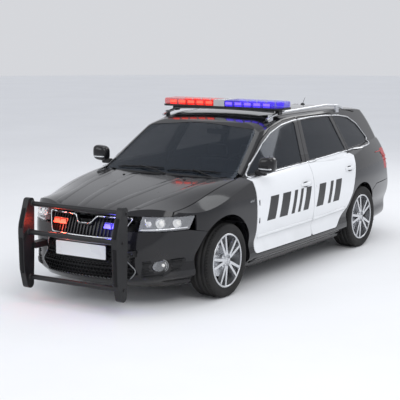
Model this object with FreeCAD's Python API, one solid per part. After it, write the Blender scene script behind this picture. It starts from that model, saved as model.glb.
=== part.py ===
"""A police patrol car, an estate with a light bar and a push bumper.

Millimetres. +X points forward, +Y to the car's left and +Z up. The origin lies
on the ground under the middle of the car's overall length. One STEP file is
written for each named piece.
"""
import FreeCAD, Part
import math
import os
from FreeCAD import Vector

# ---------------------------------------------------------------- main sizes
wheelbase = 2686.0
front_overhang = 895.0            # front axle to the nose
rear_overhang = 1078.0            # rear axle to the tail
body_half_width = 907.0
roof_height = 1465.0
push_reach = 185.0                # push bumper ahead of the nose

front_track = 1549.0
rear_track = 1540.0
tyre_radius = 318.0
tyre_width = 225.0
rim_radius = 232.0                # bead seat
front_arch_radius = 375.0
front_arch_rise = 20.0            # arch centre above the wheel centre
rear_arch_radius = 358.0
rear_arch_rise = 4.0

panel_gap = 8.0                   # between two outer panels
seat_gap = 0.3                    # between a piece and what holds it
pin_clearance = 0.05              # round a pin in its eye

overall_length = rear_overhang + wheelbase + front_overhang + push_reach
nose_x = overall_length / 2 - push_reach
front_axle_x = nose_x - front_overhang
rear_axle_x = front_axle_x - wheelbase
tail_x = rear_axle_x - rear_overhang
middle_x = (front_axle_x + rear_axle_x) / 2

X = Vector(1, 0, 0)
Y = Vector(0, 1, 0)
Z = Vector(0, 0, 1)
FAR = 6000.0
LOFT_DEGREE = 3
FORM_SIDE = 1100.0                # half width of the blocks that cut the body's top


def aft(distance):
    """X at a distance behind the front axle."""
    return front_axle_x - distance


def fore(distance):
    """X at a distance ahead of the rear axle; a minus sign reaches behind it."""
    return rear_axle_x + distance


# ---------------------------------------------------------------- basic shapes
def box(x0, x1, y0, y1, z0, z1):
    return Part.makeBox(x1 - x0, y1 - y0, z1 - z0, Vector(x0, y0, z0))


def rod(radius, start, end):
    return Part.makeCylinder(radius, (end - start).Length, start, end - start)


def tube(outer, inner, start, end):
    return rod(outer, start, end).cut(rod(inner, start, end))


def in_plane(plane, at):
    """A function that puts plane coordinates (u, v) into space."""
    return {
        "xz": lambda u, v: Vector(u, at, v),
        "xy": lambda u, v: Vector(u, v, at),
        "yz": lambda u, v: Vector(at, u, v),
    }[plane]


def outline(corners, plane="xz", at=0.0):
    """A closed wire through corners (u, v, radius), each rounded by its radius."""
    place = in_plane(plane, at)
    count = len(corners)
    joints = []
    for i, (u, v, radius) in enumerate(corners):
        here = Vector(u, v, 0)
        before = Vector(*corners[i - 1][:2], 0) - here
        after = Vector(*corners[(i + 1) % count][:2], 0) - here
        before.normalize()
        after.normalize()
        if radius <= 0:
            joints.append((here, None, here))
            continue
        half = before.getAngle(after) / 2
        reach = radius / math.tan(half)
        bisector = before + after
        bisector.normalize()
        centre = here + bisector * (radius / math.sin(half))
        joints.append((here + before * reach, centre - bisector * radius, here + after * reach))
    edges = []
    for i, (start, middle, end) in enumerate(joints):
        following = joints[(i + 1) % count][0]
        if middle is not None:
            edges.append(Part.Arc(place(start.x, start.y), place(middle.x, middle.y),
                                  place(end.x, end.y)).toShape())
        if (following - end).Length > 1e-6:
            edges.append(Part.makeLine(place(end.x, end.y), place(following.x, following.y)))
    return Part.Wire(edges)


def prism(corners, plane, low, high, grow=0.0):
    """An outline filled, grown by a margin, and pulled from low to high across its plane."""
    wire = outline(corners, plane, low)
    if grow:
        wire = wire.makeOffset2D(grow, 2)
    along = {"xz": Y, "xy": Z, "yz": X}[plane]
    return Part.Face(wire).extrude(along * (high - low))


def smooth_arc(start, middle, end):
    """A cubic edge that follows the circle arc through three points."""
    edge = Part.Arc(start, middle, end).toShape()
    circle = edge.Curve
    sweep = edge.LastParameter - edge.FirstParameter
    handle = 4.0 / 3.0 * math.tan(sweep / 4) * circle.Radius

    def tangent(point):
        across = circle.Axis.cross(point - circle.Center)
        across.normalize()
        return across if across.dot(end - start) > 0 else across * -1

    curve = Part.BezierCurve()
    curve.setPoles([start, start + tangent(start) * handle, end - tangent(end) * handle, end])
    return curve.toShape()


def mirrored(shape):
    return shape.mirror(Vector(0, 0, 0), Y)


def both_sides(shape):
    return [shape, mirrored(shape)]


def fuse(shapes):
    first, rest = shapes[0], shapes[1:]
    return first.multiFuse(rest) if rest else first


def loose(shapes):
    """Solids of one node that do not touch."""
    return Part.makeCompound([solid for shape in shapes for solid in shape.Solids])


def biggest(shape):
    return max(shape.Solids, key=lambda solid: solid.Volume)


# ---------------------------------------------------------------- body form
def circle_meet(c1, r1, c2, r2, toward_x):
    """The meeting point of two circles with the larger Y, or with X on the given side."""
    gap = (c2 - c1).Length
    along = (r1 * r1 - r2 * r2 + gap * gap) / (2 * gap)
    height = math.sqrt(max(r1 * r1 - along * along, 0.0))
    unit = (c2 - c1) * (1 / gap)
    across = Vector(-unit.y, unit.x, 0)
    choices = [c1 + unit * along + across * height, c1 + unit * along - across * height]
    return max(choices, key=lambda point: point.y)


class PlanShape:
    """Radii of a plan outline's arcs: ends, corners, flanks and sides."""

    def __init__(self, nose_r, nose_corner_r, front_flank_r, front_flank_x, side_r,
                 rear_flank_x, rear_flank_r, tail_corner_r, tail_r):
        self.nose_r = nose_r
        self.nose_corner_r = nose_corner_r
        self.front_flank_r = front_flank_r
        self.front_flank_x = front_flank_x
        self.side_r = side_r
        self.rear_flank_x = rear_flank_x
        self.rear_flank_r = rear_flank_r
        self.tail_corner_r = tail_corner_r
        self.tail_r = tail_r


def plan_wire(shape, z, nose, half_width, tail, inset):
    """A plan outline of twelve tangent arcs, moved inwards by an inset."""
    side_c = Vector(middle_x, half_width - shape.side_r, 0)

    def flank_centre(x, radius):
        lean = math.asin((x - middle_x) / shape.side_r)
        return side_c + Vector(math.sin(lean), math.cos(lean), 0) * (shape.side_r - radius)

    nose_c = Vector(nose - shape.nose_r, 0, 0)
    tail_c = Vector(tail + shape.tail_r, 0, 0)
    front_c = flank_centre(shape.front_flank_x, shape.front_flank_r)
    rear_c = flank_centre(shape.rear_flank_x, shape.rear_flank_r)
    nose_corner_c = circle_meet(nose_c, shape.nose_r - shape.nose_corner_r,
                                front_c, shape.front_flank_r - shape.nose_corner_r, 1)
    tail_corner_c = circle_meet(tail_c, shape.tail_r - shape.tail_corner_r,
                                rear_c, shape.rear_flank_r - shape.tail_corner_r, -1)

    def touch(centre, radius, inner_centre):
        away = inner_centre - centre
        away.normalize()
        return centre + away * (radius - inset)

    joints = [
        touch(nose_c, shape.nose_r, nose_corner_c),
        touch(front_c, shape.front_flank_r, nose_corner_c),
        touch(side_c, shape.side_r, front_c),
        touch(side_c, shape.side_r, rear_c),
        touch(rear_c, shape.rear_flank_r, tail_corner_c),
        touch(tail_c, shape.tail_r, tail_corner_c),
    ]
    centres = [nose_corner_c, front_c, side_c, rear_c, tail_corner_c]
    radii = [shape.nose_corner_r, shape.front_flank_r, shape.side_r,
             shape.rear_flank_r, shape.tail_corner_r]

    def lift(point):
        return Vector(point.x, point.y, z)

    def flip(point):
        return Vector(point.x, -point.y, z)

    left = []
    for centre, radius, start, end in zip(centres, radii, joints, joints[1:]):
        toward = (start - centre) + (end - centre)
        toward.normalize()
        left.append((start, centre + toward * (radius - inset), end))
    edges = [smooth_arc(flip(joints[0]), Vector(nose - inset, 0, z), lift(joints[0]))]
    edges += [smooth_arc(lift(start), lift(middle), lift(end)) for start, middle, end in left]
    edges += [smooth_arc(lift(joints[-1]), Vector(tail + inset, 0, z), flip(joints[-1]))]
    edges += [smooth_arc(flip(end), flip(middle), flip(start))
              for start, middle, end in reversed(left)]
    return Part.Wire(edges)


def plan_loft(shape, sections, inset):
    """A solid through plan outlines: height, nose, half width and tail of each."""
    wires = [plan_wire(shape, z, nose, half_width, tail, inset)
             for z, nose, half_width, tail in sections]
    return Part.makeLoft(wires, True, False, False, LOFT_DEGREE)


def top_form(stations, reach, fall, floor, inset):
    """What lies under a crowned top: each station has X, its height in the
    middle, at the crease and at the reach, and the crease's distance from the
    middle. Beyond the reach the top falls away at a steady slope."""
    wires = []
    for x, middle, crease, edge, crease_y in stations:
        def at(y, z):
            return Vector(x, y, z - inset)

        half = (crease_y + reach) / 2
        bulge = (crease + edge) / 2 + 0.06 * (reach - crease_y)
        outer = FORM_SIDE - reach
        rim = edge - fall * outer
        wires.append(Part.Wire([
            Part.makeLine(Vector(x, -FORM_SIDE, floor), Vector(x, FORM_SIDE, floor)),
            Part.makeLine(Vector(x, FORM_SIDE, floor), at(FORM_SIDE, rim)),
            Part.makeLine(at(FORM_SIDE, rim), at(reach, edge)),
            smooth_arc(at(reach, edge), at(half, bulge), at(crease_y, crease)),
            smooth_arc(at(crease_y, crease), at(0, middle), at(-crease_y, crease)),
            smooth_arc(at(-crease_y, crease), at(-half, bulge), at(-reach, edge)),
            Part.makeLine(at(-reach, edge), at(-FORM_SIDE, rim)),
            Part.makeLine(at(-FORM_SIDE, rim), Vector(x, -FORM_SIDE, floor)),
        ]))
    return Part.makeLoft(wires, True, False, False, LOFT_DEGREE)


lower_plan = PlanShape(
    nose_r=1300.0, nose_corner_r=330.0, front_flank_r=1380.0, front_flank_x=aft(60),
    side_r=60000.0, rear_flank_x=fore(250), rear_flank_r=6500.0,
    tail_corner_r=190.0, tail_r=3200.0)
cabin_plan = PlanShape(
    nose_r=2300.0, nose_corner_r=110.0, front_flank_r=6000.0, front_flank_x=aft(1300),
    side_r=30000.0, rear_flank_x=aft(1700), rear_flank_r=16000.0,
    tail_corner_r=170.0, tail_r=2600.0)

# height, setback of the nose, of each side and of the tail
lower_sections = [
    (175, 120, 95, 240),
    (240, 40, 48, 165),
    (340, 6, 30, 70),
    (440, 0, 26, 22),
    (480, 2, 14, 8),
    (570, 14, 3, 0),
    (660, 42, 0, 32),
    (760, 92, 3, 66),
    (850, 170, 14, 80),
    (930, 270, 40, 92),
    (1010, 390, 84, 106),
    (1070, 500, 125, 122),
]
# height, windscreen's distance behind the front axle, half width, tail setback
cabin_sections = [
    (880, 150, 861, 70),
    (1020, 368, 798, 98),
    (1180, 622, 726, 148),
    (1330, 862, 658, 246),
    (1400, 985, 624, 326),
    (1450, 1110, 590, 410),
    (1500, 1260, 540, 510),
]
# distance behind the front axle; height in the middle, at the crease and at the
# side; the crease's distance from the middle
shoulder_stations = [
    (-960, 640, 636, 590, 300),
    (-800, 765, 762, 700, 330),
    (-720, 800, 794, 735, 350),
    (-560, 842, 834, 745, 390),
    (-320, 886, 878, 765, 440),
    (0, 934, 926, 858, 510),
    (300, 974, 966, 922, 570),
    (560, 1000, 992, 958, 600),
    (1600, 1025, 1020, 985, 600),
    (3100, 1056, 1051, 1022, 600),
    (3900, 1072, 1067, 1040, 600),
]
shoulder_reach = 850.0
# the roof: as above, with heights as drops below the roof height
roof_stations = [
    (100, 330, 342, 420, 420),
    (400, 268, 279, 350, 420),
    (700, 190, 200, 262, 420),
    (1000, 62, 72, 126, 400),
    (1150, 30, 40, 92, 400),
    (1400, 8, 16, 54, 400),
    (1700, 0, 8, 46, 400),
    (2300, 4, 12, 50, 400),
    (2900, 26, 34, 76, 400),
    (3300, 60, 68, 118, 400),
    (3500, 100, 108, 164, 400),
    (3800, 160, 168, 230, 400),
]
roof_reach = 620.0

form_cache = {}


def kept(form):
    """A form that is worked out once for each inset."""
    def look_up(inset):
        key = form.__name__, inset
        if key not in form_cache:
            form_cache[key] = form(inset)
        return form_cache[key]
    return look_up


@kept
def side_form(inset):
    """The lower body's sides alone, with a flat top."""
    sections = [(z, nose_x - nose, body_half_width - side, tail_x + tail)
                for z, nose, side, tail in lower_sections]
    return plan_loft(lower_plan, sections, inset)


@kept
def lower_form(inset):
    stations = [(aft(d), middle, crease, edge, y)
                for d, middle, crease, edge, y in shoulder_stations]
    return side_form(inset).common(top_form(stations, shoulder_reach, 0.5, 100.0, inset))


@kept
def cabin_form(inset):
    sections = [(z, aft(screen), half_width, tail_x + tail)
                for z, screen, half_width, tail in cabin_sections]
    stations = [(aft(d), roof_height - middle, roof_height - crease, roof_height - edge, y)
                for d, middle, crease, edge, y in roof_stations]
    loft = plan_loft(cabin_plan, sections, inset)
    return loft.common(top_form(stations, roof_reach, 0.3, 800.0, inset))


@kept
def body_form(inset):
    """The car's outer shape moved inwards by an inset."""
    return lower_form(inset).fuse(cabin_form(inset))


def layer(region, inner, outer=0, form=body_form):
    """The part of a region between two insets of a form."""
    return region.common(form(outer)).cut(form(inner))


# ---------------------------------------------------------------- panel outlines
# corners as X, Z and rounding, seen from the car's left
front_door_outline = [
    (aft(466), 296, 45), (aft(466), 850, 60), (aft(452), 972, 25), (aft(905), 1258, 300),
    (aft(1130), 1352, 150), (aft(1400), 1395, 250), (aft(1690), 1407, 18), (aft(1541), 985, 60),
    (aft(1541), 296, 30),
]
rear_door_outline = [
    (aft(1541) - panel_gap, 296, 30), (aft(1541) - panel_gap, 985, 60),
    (aft(1690) - panel_gap, 1407, 18), (aft(2478), 1397, 40), (aft(2560), 990, 60),
    (aft(2500), 830, 150), (aft(2425), 610, 150), (aft(2300), 455, 80), (aft(2075), 296, 60),
]
front_glass_outline = [
    (aft(500), 987, 6), (aft(900), 1222, 300), (aft(1110), 1305, 150), (aft(1340), 1354, 250),
    (aft(1612), 1376, 20), (aft(1478), 1009, 20),
]
rear_glass_outline = [
    (aft(1632), 1012, 20), (aft(1750), 1380, 20), (aft(2408), 1372, 20), (aft(2502), 1031, 20),
]
quarter_glass_outline = [
    (aft(2596), 1033, 20), (aft(2500), 1370, 20), (aft(2680), 1352, 200), (aft(2880), 1320, 150),
    (aft(3050), 1235, 120), (aft(3186), 1096, 22), (aft(3105), 1052, 60),
]
# corners as Y, Z and rounding, seen from the front
windscreen_outline = [
    (-712, 948, 30), (712, 948, 30), (592, 1343, 60), (0, 1394, 2400), (-592, 1343, 60),
]
tailgate_outline = [
    (-545, 628, 30), (545, 628, 30), (600, 720, 40), (600, 985, 60), (520, 1330, 90),
    (500, 1700, 0), (-500, 1700, 0), (-520, 1330, 90), (-600, 985, 60), (-600, 720, 40),
]
tailgate_glass_outline = [
    (-525, 1062, 40), (525, 1062, 40), (462, 1318, 50), (-462, 1318, 50),
]
upper_grille_outline = [
    (-350, 580, 40), (350, 580, 40), (436, 748, 12), (108, 748, 8), (58, 688, 16),
    (-58, 688, 16), (-108, 748, 8), (-436, 748, 12),
]
lower_grille_outline = [
    (-430, 240, 30), (430, 240, 30), (500, 322, 40), (408, 425, 30), (400, 538, 16),
    (-400, 538, 16), (-408, 425, 30), (-500, 322, 40),
]

# ---------------------------------------------------------------- wall thicknesses
flange = 9.0                      # a door's outer plate
flange_room = 14.0                # what the body leaves behind it
hinge_room = 66.0                 # the same at a door's hinged edge
door_depth = 92.0
door_frame_depth = 44.0
door_step = 25.0                  # the door's inner box stands in from its plate
belt_z = 935.0                    # below the window frames
lower_wall = 98.0
cabin_wall = 48.0
fender_wall = 14.0
bumper_wall = 26.0
hood_wall = 22.0
tailgate_wall = 42.0
glass_outer = 6.0
glass_inner = 12.0

front_door_front = aft(466)
rear_door_front = aft(1541) - panel_gap
hinge_back = 40.0                 # hinge axis behind the door's front edge
hinge_in = 14.0                   # hinge axis inboard of the widest skin
hinge_y = body_half_width - 3.0 - hinge_in
hinge_heights = (590.0, 750.0)
hinge_pin_r = 5.0
hinge_eye_r = 11.0
hinge_strap = 36.0                # a strap's height
hinge_strap_t = 12.0              # and its thickness
door_swing = 68.0                 # degrees from shut to open
swing_gap = 5.0                   # between moving pieces
pillar_room = 32.0                # what the body leaves behind a door's frame at its hinges

hood_side = 735.0                 # half width of the hood at the windscreen
hood_front_side = 700.0
hood_z = 762.0                    # lowest edge of the hood
hood_pivot_x = aft(352)
hood_pivot_z = 946.0
hood_hinge_y = 600.0
tailgate_top_x = aft(3246)
tailgate_pivot_z = roof_height - 56.0
tailgate_hinge_y = 210.0
tailgate_plate = 12.0             # its outer plate
tailgate_step = 16.0              # its inner frame stands in from the plate

cowl_top = 918.0
sill_z = lower_sections[0][0]     # underside of the sills
jacking_pad_x = (aft(640), fore(560))
jacking_pad_y = 730.0
cowl_back_x = aft(480)
floor_z = 300.0
rear_floor_z = 500.0
floor_thickness = 26.0
floor_step_x = fore(200)          # the floor rises here, behind the rear bench's feet
firewall_x = aft(345)
firewall_low = 250.0

wheel_z = tyre_radius


def side_prism(corners, grow=0.0):
    return prism(corners, "xz", 300.0, FORM_SIDE, grow)


def cross_prism(corners, x0, x1, grow=0.0):
    return prism(corners, "yz", x0, x1, grow)


def arch_rod(radius, rise, axle_x, y0, y1):
    return rod(radius, Vector(axle_x, y0, wheel_z + rise), Vector(axle_x, y1, wheel_z + rise))


# ---------------------------------------------------------------- hinges
def door_hinge(door_front, z):
    """A door hinge's fixed strap with its eye, and the door's pin."""
    centre = Vector(door_front - hinge_back, hinge_y, z)
    low = centre - Z * hinge_strap / 2
    high = centre + Z * hinge_strap / 2
    reach_in = 62.0
    thick = hinge_strap_t
    pillar = door_front - door_step + panel_gap
    strap = fuse([
        rod(hinge_eye_r, low, high),
        box(centre.x - thick / 2, centre.x + thick / 2, hinge_y - reach_in, hinge_y,
            low.z, high.z),
        box(centre.x - thick / 2, pillar + 4, hinge_y - reach_in - thick, hinge_y - reach_in,
            low.z, high.z),
    ]).cut(rod(hinge_pin_r + pin_clearance, low - Z, high + Z))
    pin = rod(hinge_pin_r, centre - Z * 40, centre + Z * 40)
    return strap, pin


def door_hinge_pocket(door_front, z):
    """What a door leaves for a strap, from shut to fully open."""
    x = door_front - hinge_back
    half = hinge_strap / 2 + 8
    opened = math.radians(door_swing)
    along = Vector(math.sin(opened), -math.cos(opened), 0)
    across = Vector(math.cos(opened), math.sin(opened), 0) * (hinge_strap_t / 2 + swing_gap)
    start = Vector(x, hinge_y, z - half) + across
    end = start + along * (hinge_back + 12)
    wedge = Part.Face(Part.makePolygon([
        start, end, Vector(end.x, hinge_y - 10, end.z), Vector(x, hinge_y - 10, end.z), start]))
    return fuse([
        box(x - 16, door_front + 5, hinge_y - 120, hinge_y - 6, z - half, z + half),
        rod(hinge_eye_r + 2, Vector(x, hinge_y, z - half), Vector(x, hinge_y, z + half)),
        wedge.extrude(Z * 2 * half),
    ])


def door(corners, glass_corners, door_front):
    """A left door: an outer plate, an inner box below the belt, a thin frame above."""
    plate = layer(side_prism(corners), flange)
    inner = side_prism(corners, -door_step)
    low_band = box(tail_x, nose_x, 0, FORM_SIDE, 0, belt_z)
    high_band = box(tail_x, nose_x, 0, FORM_SIDE, belt_z, FAR)
    deep = inner.common(low_band).common(lower_form(flange)).cut(side_form(door_depth))
    frame = layer(inner.common(high_band), door_frame_depth, flange, cabin_form)
    shape = fuse([plate, deep, frame]).cut(side_prism(glass_corners, seat_gap))
    for z in hinge_heights:
        shape = shape.cut(door_hinge_pocket(door_front, z))
        shape = shape.fuse(door_hinge(door_front, z)[1])
    return biggest(shape)


def side_glass(corners):
    return biggest(layer(side_prism(corners), glass_inner, glass_outer, cabin_form))


def mirror_housing():
    """A door mirror: a rounded shell on a foot that stands on the door."""
    # distance out, and the shell's front, rear, low and high edges there
    steps = [(856, 585, 640, 1035, 1085), (890, 552, 655, 1010, 1135),
             (975, 545, 650, 1010, 1140), (1002, 570, 640, 1035, 1115)]
    wires = [outline([(aft(rear), low, 18), (aft(rear), high, 22), (aft(front), high, 22),
                      (aft(front), low, 18)], "xz", y) for y, front, rear, low, high in steps]
    shell = Part.makeLoft(wires, True, False, False, LOFT_DEGREE)
    foot = box(aft(640), aft(590), 780, 905, 975, 1048).cut(body_form(0))
    return shell.fuse(biggest(foot))


# ---------------------------------------------------------------- fixed body
def cabin_space():
    """The left half of the cabin's inside, from the firewall to the tail, clear of
    the wheel housing."""
    low = side_form(lower_wall).common(
        box(floor_step_x, firewall_x - 15, -1, FORM_SIDE, floor_z, 900).fuse(
            box(tail_x, floor_step_x, -1, FORM_SIDE, rear_floor_z, 900)))
    high = cabin_form(cabin_wall).common(
        box(tail_x, cowl_back_x, -1, FORM_SIDE, 885, FAR).fuse(
            box(cowl_back_x, nose_x, -1, FORM_SIDE, cowl_top, FAR)))
    return low.fuse(high).cut(arch_rod(rear_arch_radius + 24, rear_arch_rise, rear_axle_x,
                                       575, FORM_SIDE))


def door_recess(corners, door_front):
    """What the body leaves for a left door: a shallow seat for its plate, a
    deeper one at the hinges and a way through for its box."""
    opening = side_prism(corners, panel_gap)
    seat = opening.cut(body_form(flange_room))
    hinge_edge = box(door_front - door_step, door_front + panel_gap, 300, FORM_SIDE, 250, 960)
    foot = box(door_front - hinge_back - 22, door_front, 300, FORM_SIDE, 250, 345)
    deep = hinge_edge.fuse(foot).common(opening).cut(side_form(hinge_room))
    corner = box(door_front - 120, door_front + panel_gap, 300, FORM_SIDE, 945, 1060)
    behind_frame = corner.common(opening).cut(cabin_form(pillar_room))
    through = side_prism(corners, panel_gap - door_step)
    return [seat, deep, behind_frame, through]


def jacking_pad(x):
    """A flat pad under the left sill, where a jack's head goes."""
    return box(x - 45, x + 45, jacking_pad_y - 25, jacking_pad_y + 25, sill_z - 8, sill_z + 20)


def body_shell():
    """The left half of the shell is cut out first, then mirrored."""
    def half(x0, x1, z0, z1, y1=FORM_SIDE):
        return box(x0, x1, 0, y1, z0, z1)

    rear = body_form(0).common(half(tail_x - 50, aft(458), 0, FAR))
    cowl = lower_form(fender_wall).common(
        half(cowl_back_x, aft(275), 880, cowl_top, hood_side))
    firewall = lower_form(fender_wall).common(
        half(firewall_x - 15, firewall_x, firewall_low, cowl_top).fuse(
            half(aft(470), firewall_x, floor_z - floor_thickness, floor_z)))
    pillar = layer(half(aft(490), firewall_x, 180, cowl_top), lower_wall, fender_wall, lower_form)
    shell = fuse([rear, cowl, firewall, pillar])
    cuts = [
        cabin_space(),
        box(floor_step_x - 60, firewall_x, -1, 650, 0, floor_z - floor_thickness),
        box(tail_x - 50, floor_step_x - floor_thickness, -1, 600, 0,
            rear_floor_z - floor_thickness),
        side_prism(quarter_glass_outline, seat_gap),
        cross_prism(windscreen_outline, aft(1250), aft(120), seat_gap),
        cross_prism(tailgate_outline, tail_x - 50, tailgate_top_x + panel_gap, panel_gap),
        arch_rod(rear_arch_radius, rear_arch_rise, rear_axle_x, 600, FORM_SIDE),
        arch_rod(front_arch_radius + liner_wall / 2, front_arch_rise, front_axle_x, well_inner,
                 FORM_SIDE),
        rear_bumper_space(panel_gap),
        tail_lamp_space(seat_gap),
    ]
    cuts += door_recess(front_door_outline, front_door_front)
    cuts += door_recess(rear_door_outline, rear_door_front)
    for cut in cuts:
        shell = shell.cut(cut)
    parts = [biggest(shell), front_structure(), hood_hinge()[0], tailgate_hinge()[0]]
    parts += [jacking_pad(x) for x in jacking_pad_x]
    parts += [door_hinge(front, z)[0] for front in (front_door_front, rear_door_front)
              for z in hinge_heights]
    left = fuse(parts)
    return left.fuse(mirrored(left))


rail_low, rail_high = 420.0, 530.0
rail_inner, rail_outer = 400.0, 468.0
well_inner = 472.0                # inner face of the front wheel housings
liner_wall = 14.0
beam_x = nose_x - 150.0


def front_structure():
    """The left half of the rails, wheel housings and strut towers, and of the beams
    across the front."""
    top = Vector(front_axle_x, strut_top_y + 12, 0)
    rail = box(firewall_x - 8, beam_x, rail_inner, rail_outer, rail_low, rail_high)
    liner = arch_rod(front_arch_radius + liner_wall, front_arch_rise, front_axle_x,
                     well_inner - 8, FORM_SIDE)
    well = arch_rod(front_arch_radius, front_arch_rise, front_axle_x, well_inner, FORM_SIDE)
    liner = liner.cut(well).common(
        box(aft(700), aft(-700), 0, FORM_SIDE, rail_low, FAR).fuse(
            box(aft(700), aft(330), 0, FORM_SIDE, firewall_low, rail_low)))
    liner = liner.common(lower_form(bumper_wall + seat_gap))
    liner = liner.cut(rod(82, top + Z * 600, top + Z * 850))
    tower = tube(92, 82, top + Z * 640, top + Z * 850).fuse(
        tube(90, 20, top + Z * (strut_top_z + seat_gap), top + Z * 850))
    beams = [box(beam_x - 30, beam_x, 0, 500, 410, 540),
             box(beam_x - 85, beam_x - 50, 0, 450, 690, 720),
             box(beam_x - 85, beam_x - 30, 420, 450, 520, 720)]
    return fuse([rail, liner, tower.cut(well)] + beams)


def rear_bumper_space(grow):
    """The region that the rear bumper fills."""
    corners = [(tail_x - 60, 0, 0), (tail_x - 60, 612, 0), (fore(-420), 612, 0),
               (fore(-300), 560, 0), (fore(-300), 0, 0)]
    region = prism(corners, "xz", -FORM_SIDE, FORM_SIDE, grow)
    return region.cut(lower_form(bumper_wall + (seat_gap if grow else 0)))


def tail_lamp_space(grow):
    corners = [(tail_x - 60, 742, 20), (tail_x - 60, 962, 20), (fore(-650), 968, 20),
               (fore(-720), 742, 20)]
    region = prism(corners, "xz", 608.0 + panel_gap, FORM_SIDE, grow)
    return region.cut(lower_form(44 + grow))


# ---------------------------------------------------------------- hood and tailgate hinges
def cross_hinge(x, y, z, stem):
    """A hinge along Y: two fixed cheeks with a pin, and a moving barrel between them.
    The stem is the direction in which the cheeks reach their seat."""
    barrel = tube(7, 4 + pin_clearance, Vector(x, y - 12, z), Vector(x, y + 12, z))
    low = Vector(min(x - 8, x + stem.x), 0, min(z - 8, z + stem.z))
    high = Vector(max(x + 8, x + stem.x), 0, max(z + 8, z + stem.z))
    if stem.x:
        low.z, high.z = z - 8, z + 8
    else:
        high.z = z
    fixed = [rod(4, Vector(x, y - 20, z), Vector(x, y + 20 - seat_gap, z))]
    for y0 in (y - 20, y + 12 + seat_gap):
        y1 = y0 + 8 - seat_gap
        fixed.append(rod(7, Vector(x, y0, z), Vector(x, y1, z)))
        fixed.append(box(low.x, high.x, y0, y1, low.z, high.z))
    return fuse(fixed), barrel


def hood_hinge():
    return cross_hinge(hood_pivot_x, hood_hinge_y, hood_pivot_z, Vector(0, 0, -40))


def windscreen():
    """The screen, notched at its foot round the hood's hinges."""
    region = cross_prism(windscreen_outline, aft(1250), aft(120)).cut(hood_region(panel_gap))
    notch = box(hood_pivot_x - 80, nose_x, hood_hinge_y - 32, hood_hinge_y + 32, 0,
                hood_pivot_z + 26)
    for side in both_sides(notch):
        region = region.cut(side)
    return biggest(layer(region, glass_inner, glass_outer, cabin_form))


def tailgate_hinge():
    return cross_hinge(tailgate_top_x, tailgate_hinge_y, tailgate_pivot_z, Vector(40, 0, 0))


def hood_region(grow):
    front = nose_x + 60
    rear_arc = Part.Arc(Vector(aft(352) - grow, hood_side + grow, 700),
                        Vector(aft(258) - grow, 0, 700),
                        Vector(aft(352) - grow, -hood_side - grow, 700)).toShape()
    points = [Vector(aft(352) - grow, -hood_side - grow, 700),
              Vector(aft(-560), -hood_front_side - grow, 700),
              Vector(front, -hood_front_side - grow, 700),
              Vector(front, hood_front_side + grow, 700),
              Vector(aft(-560), hood_front_side + grow, 700),
              Vector(aft(352) - grow, hood_side + grow, 700)]
    wire = Part.Wire([rear_arc] + [Part.makeLine(a, b) for a, b in zip(points, points[1:])])
    region = Part.Face(wire).extrude(Z * 500)
    return region.common(box(tail_x, front, -FORM_SIDE, FORM_SIDE, hood_z - grow, FAR))


def hood():
    shape = layer(hood_region(0), hood_wall, 0, lower_form)
    for y in (hood_hinge_y, -hood_hinge_y):
        shape = shape.cut(box(hood_pivot_x - 20, hood_pivot_x + 14, y - 24, y + 24,
                              hood_pivot_z - 40, hood_pivot_z + 12))
        shape = shape.fuse(box(hood_pivot_x + 2, hood_pivot_x + 40, y - 12, y + 12,
                               hood_pivot_z - 5, hood_pivot_z + 10))
        shape = shape.cut(rod(6, Vector(hood_pivot_x, y - 13, hood_pivot_z),
                              Vector(hood_pivot_x, y + 13, hood_pivot_z)))
    return biggest(fuse([biggest(shape)] + both_sides(hood_hinge()[1])))


def tailgate():
    plate = cross_prism(tailgate_outline, tail_x - 50, tailgate_top_x)
    inner = cross_prism(tailgate_outline, tail_x - 50, tailgate_top_x, -tailgate_step)
    shape = layer(plate, tailgate_plate).fuse(layer(inner, tailgate_wall))
    shape = shape.cut(cross_prism(tailgate_glass_outline, tail_x - 50, aft(3300), seat_gap))
    for side in both_sides(tailgate_lamp_space(seat_gap)):
        shape = shape.cut(side)
    x, z = tailgate_top_x, tailgate_pivot_z
    for y in (tailgate_hinge_y, -tailgate_hinge_y):
        shape = shape.cut(box(x - 14, x + 20, y - 24, y + 24, z - 40, z + 12))
        shape = shape.fuse(box(x - 24, x - 2, y - 12, y + 12, z - 22, z + 2))
        shape = shape.cut(rod(6, Vector(x, y - 13, z), Vector(x, y + 13, z)))
    return biggest(fuse([biggest(shape)] + both_sides(tailgate_hinge()[1])))


def tailgate_lamp_space(grow):
    corners = [(470, 752, 20), (600 + panel_gap, 752, 0), (600 + panel_gap, 962, 0),
               (500, 940, 20)]
    return cross_prism(corners, tail_x - 50, aft(3400), grow).cut(lower_form(30 + grow))


# ---------------------------------------------------------------- skins fixed to the body
def bumper_fender_line(grow):
    """The front bumper's region, seen from the side."""
    corners = [(nose_x + 60, 0, 0), (nose_x + 60, 640, 0), (aft(-447), 640, 0),
               (aft(-230), 600, 0), (aft(-230), 0, 0)]
    return prism(corners, "xz", -FORM_SIDE, FORM_SIDE, grow)


def front_fender():
    region = box(aft(458), nose_x, 300, FORM_SIDE, 185, FAR)
    low_front = box(aft(-383), nose_x + 60, 0, FORM_SIDE, 0, hood_z - panel_gap / 2)
    cowl = box(aft(700), aft(262), -hood_side, hood_side, 880, FAR)
    region = region.cut([hood_region(panel_gap), bumper_fender_line(panel_gap / 2), low_front,
                         cowl, side_prism(front_door_outline, panel_gap),
                         arch_rod(front_arch_radius, front_arch_rise, front_axle_x, 200,
                                        FORM_SIDE)])
    return biggest(layer(region, fender_wall, 0, lower_form))


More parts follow.
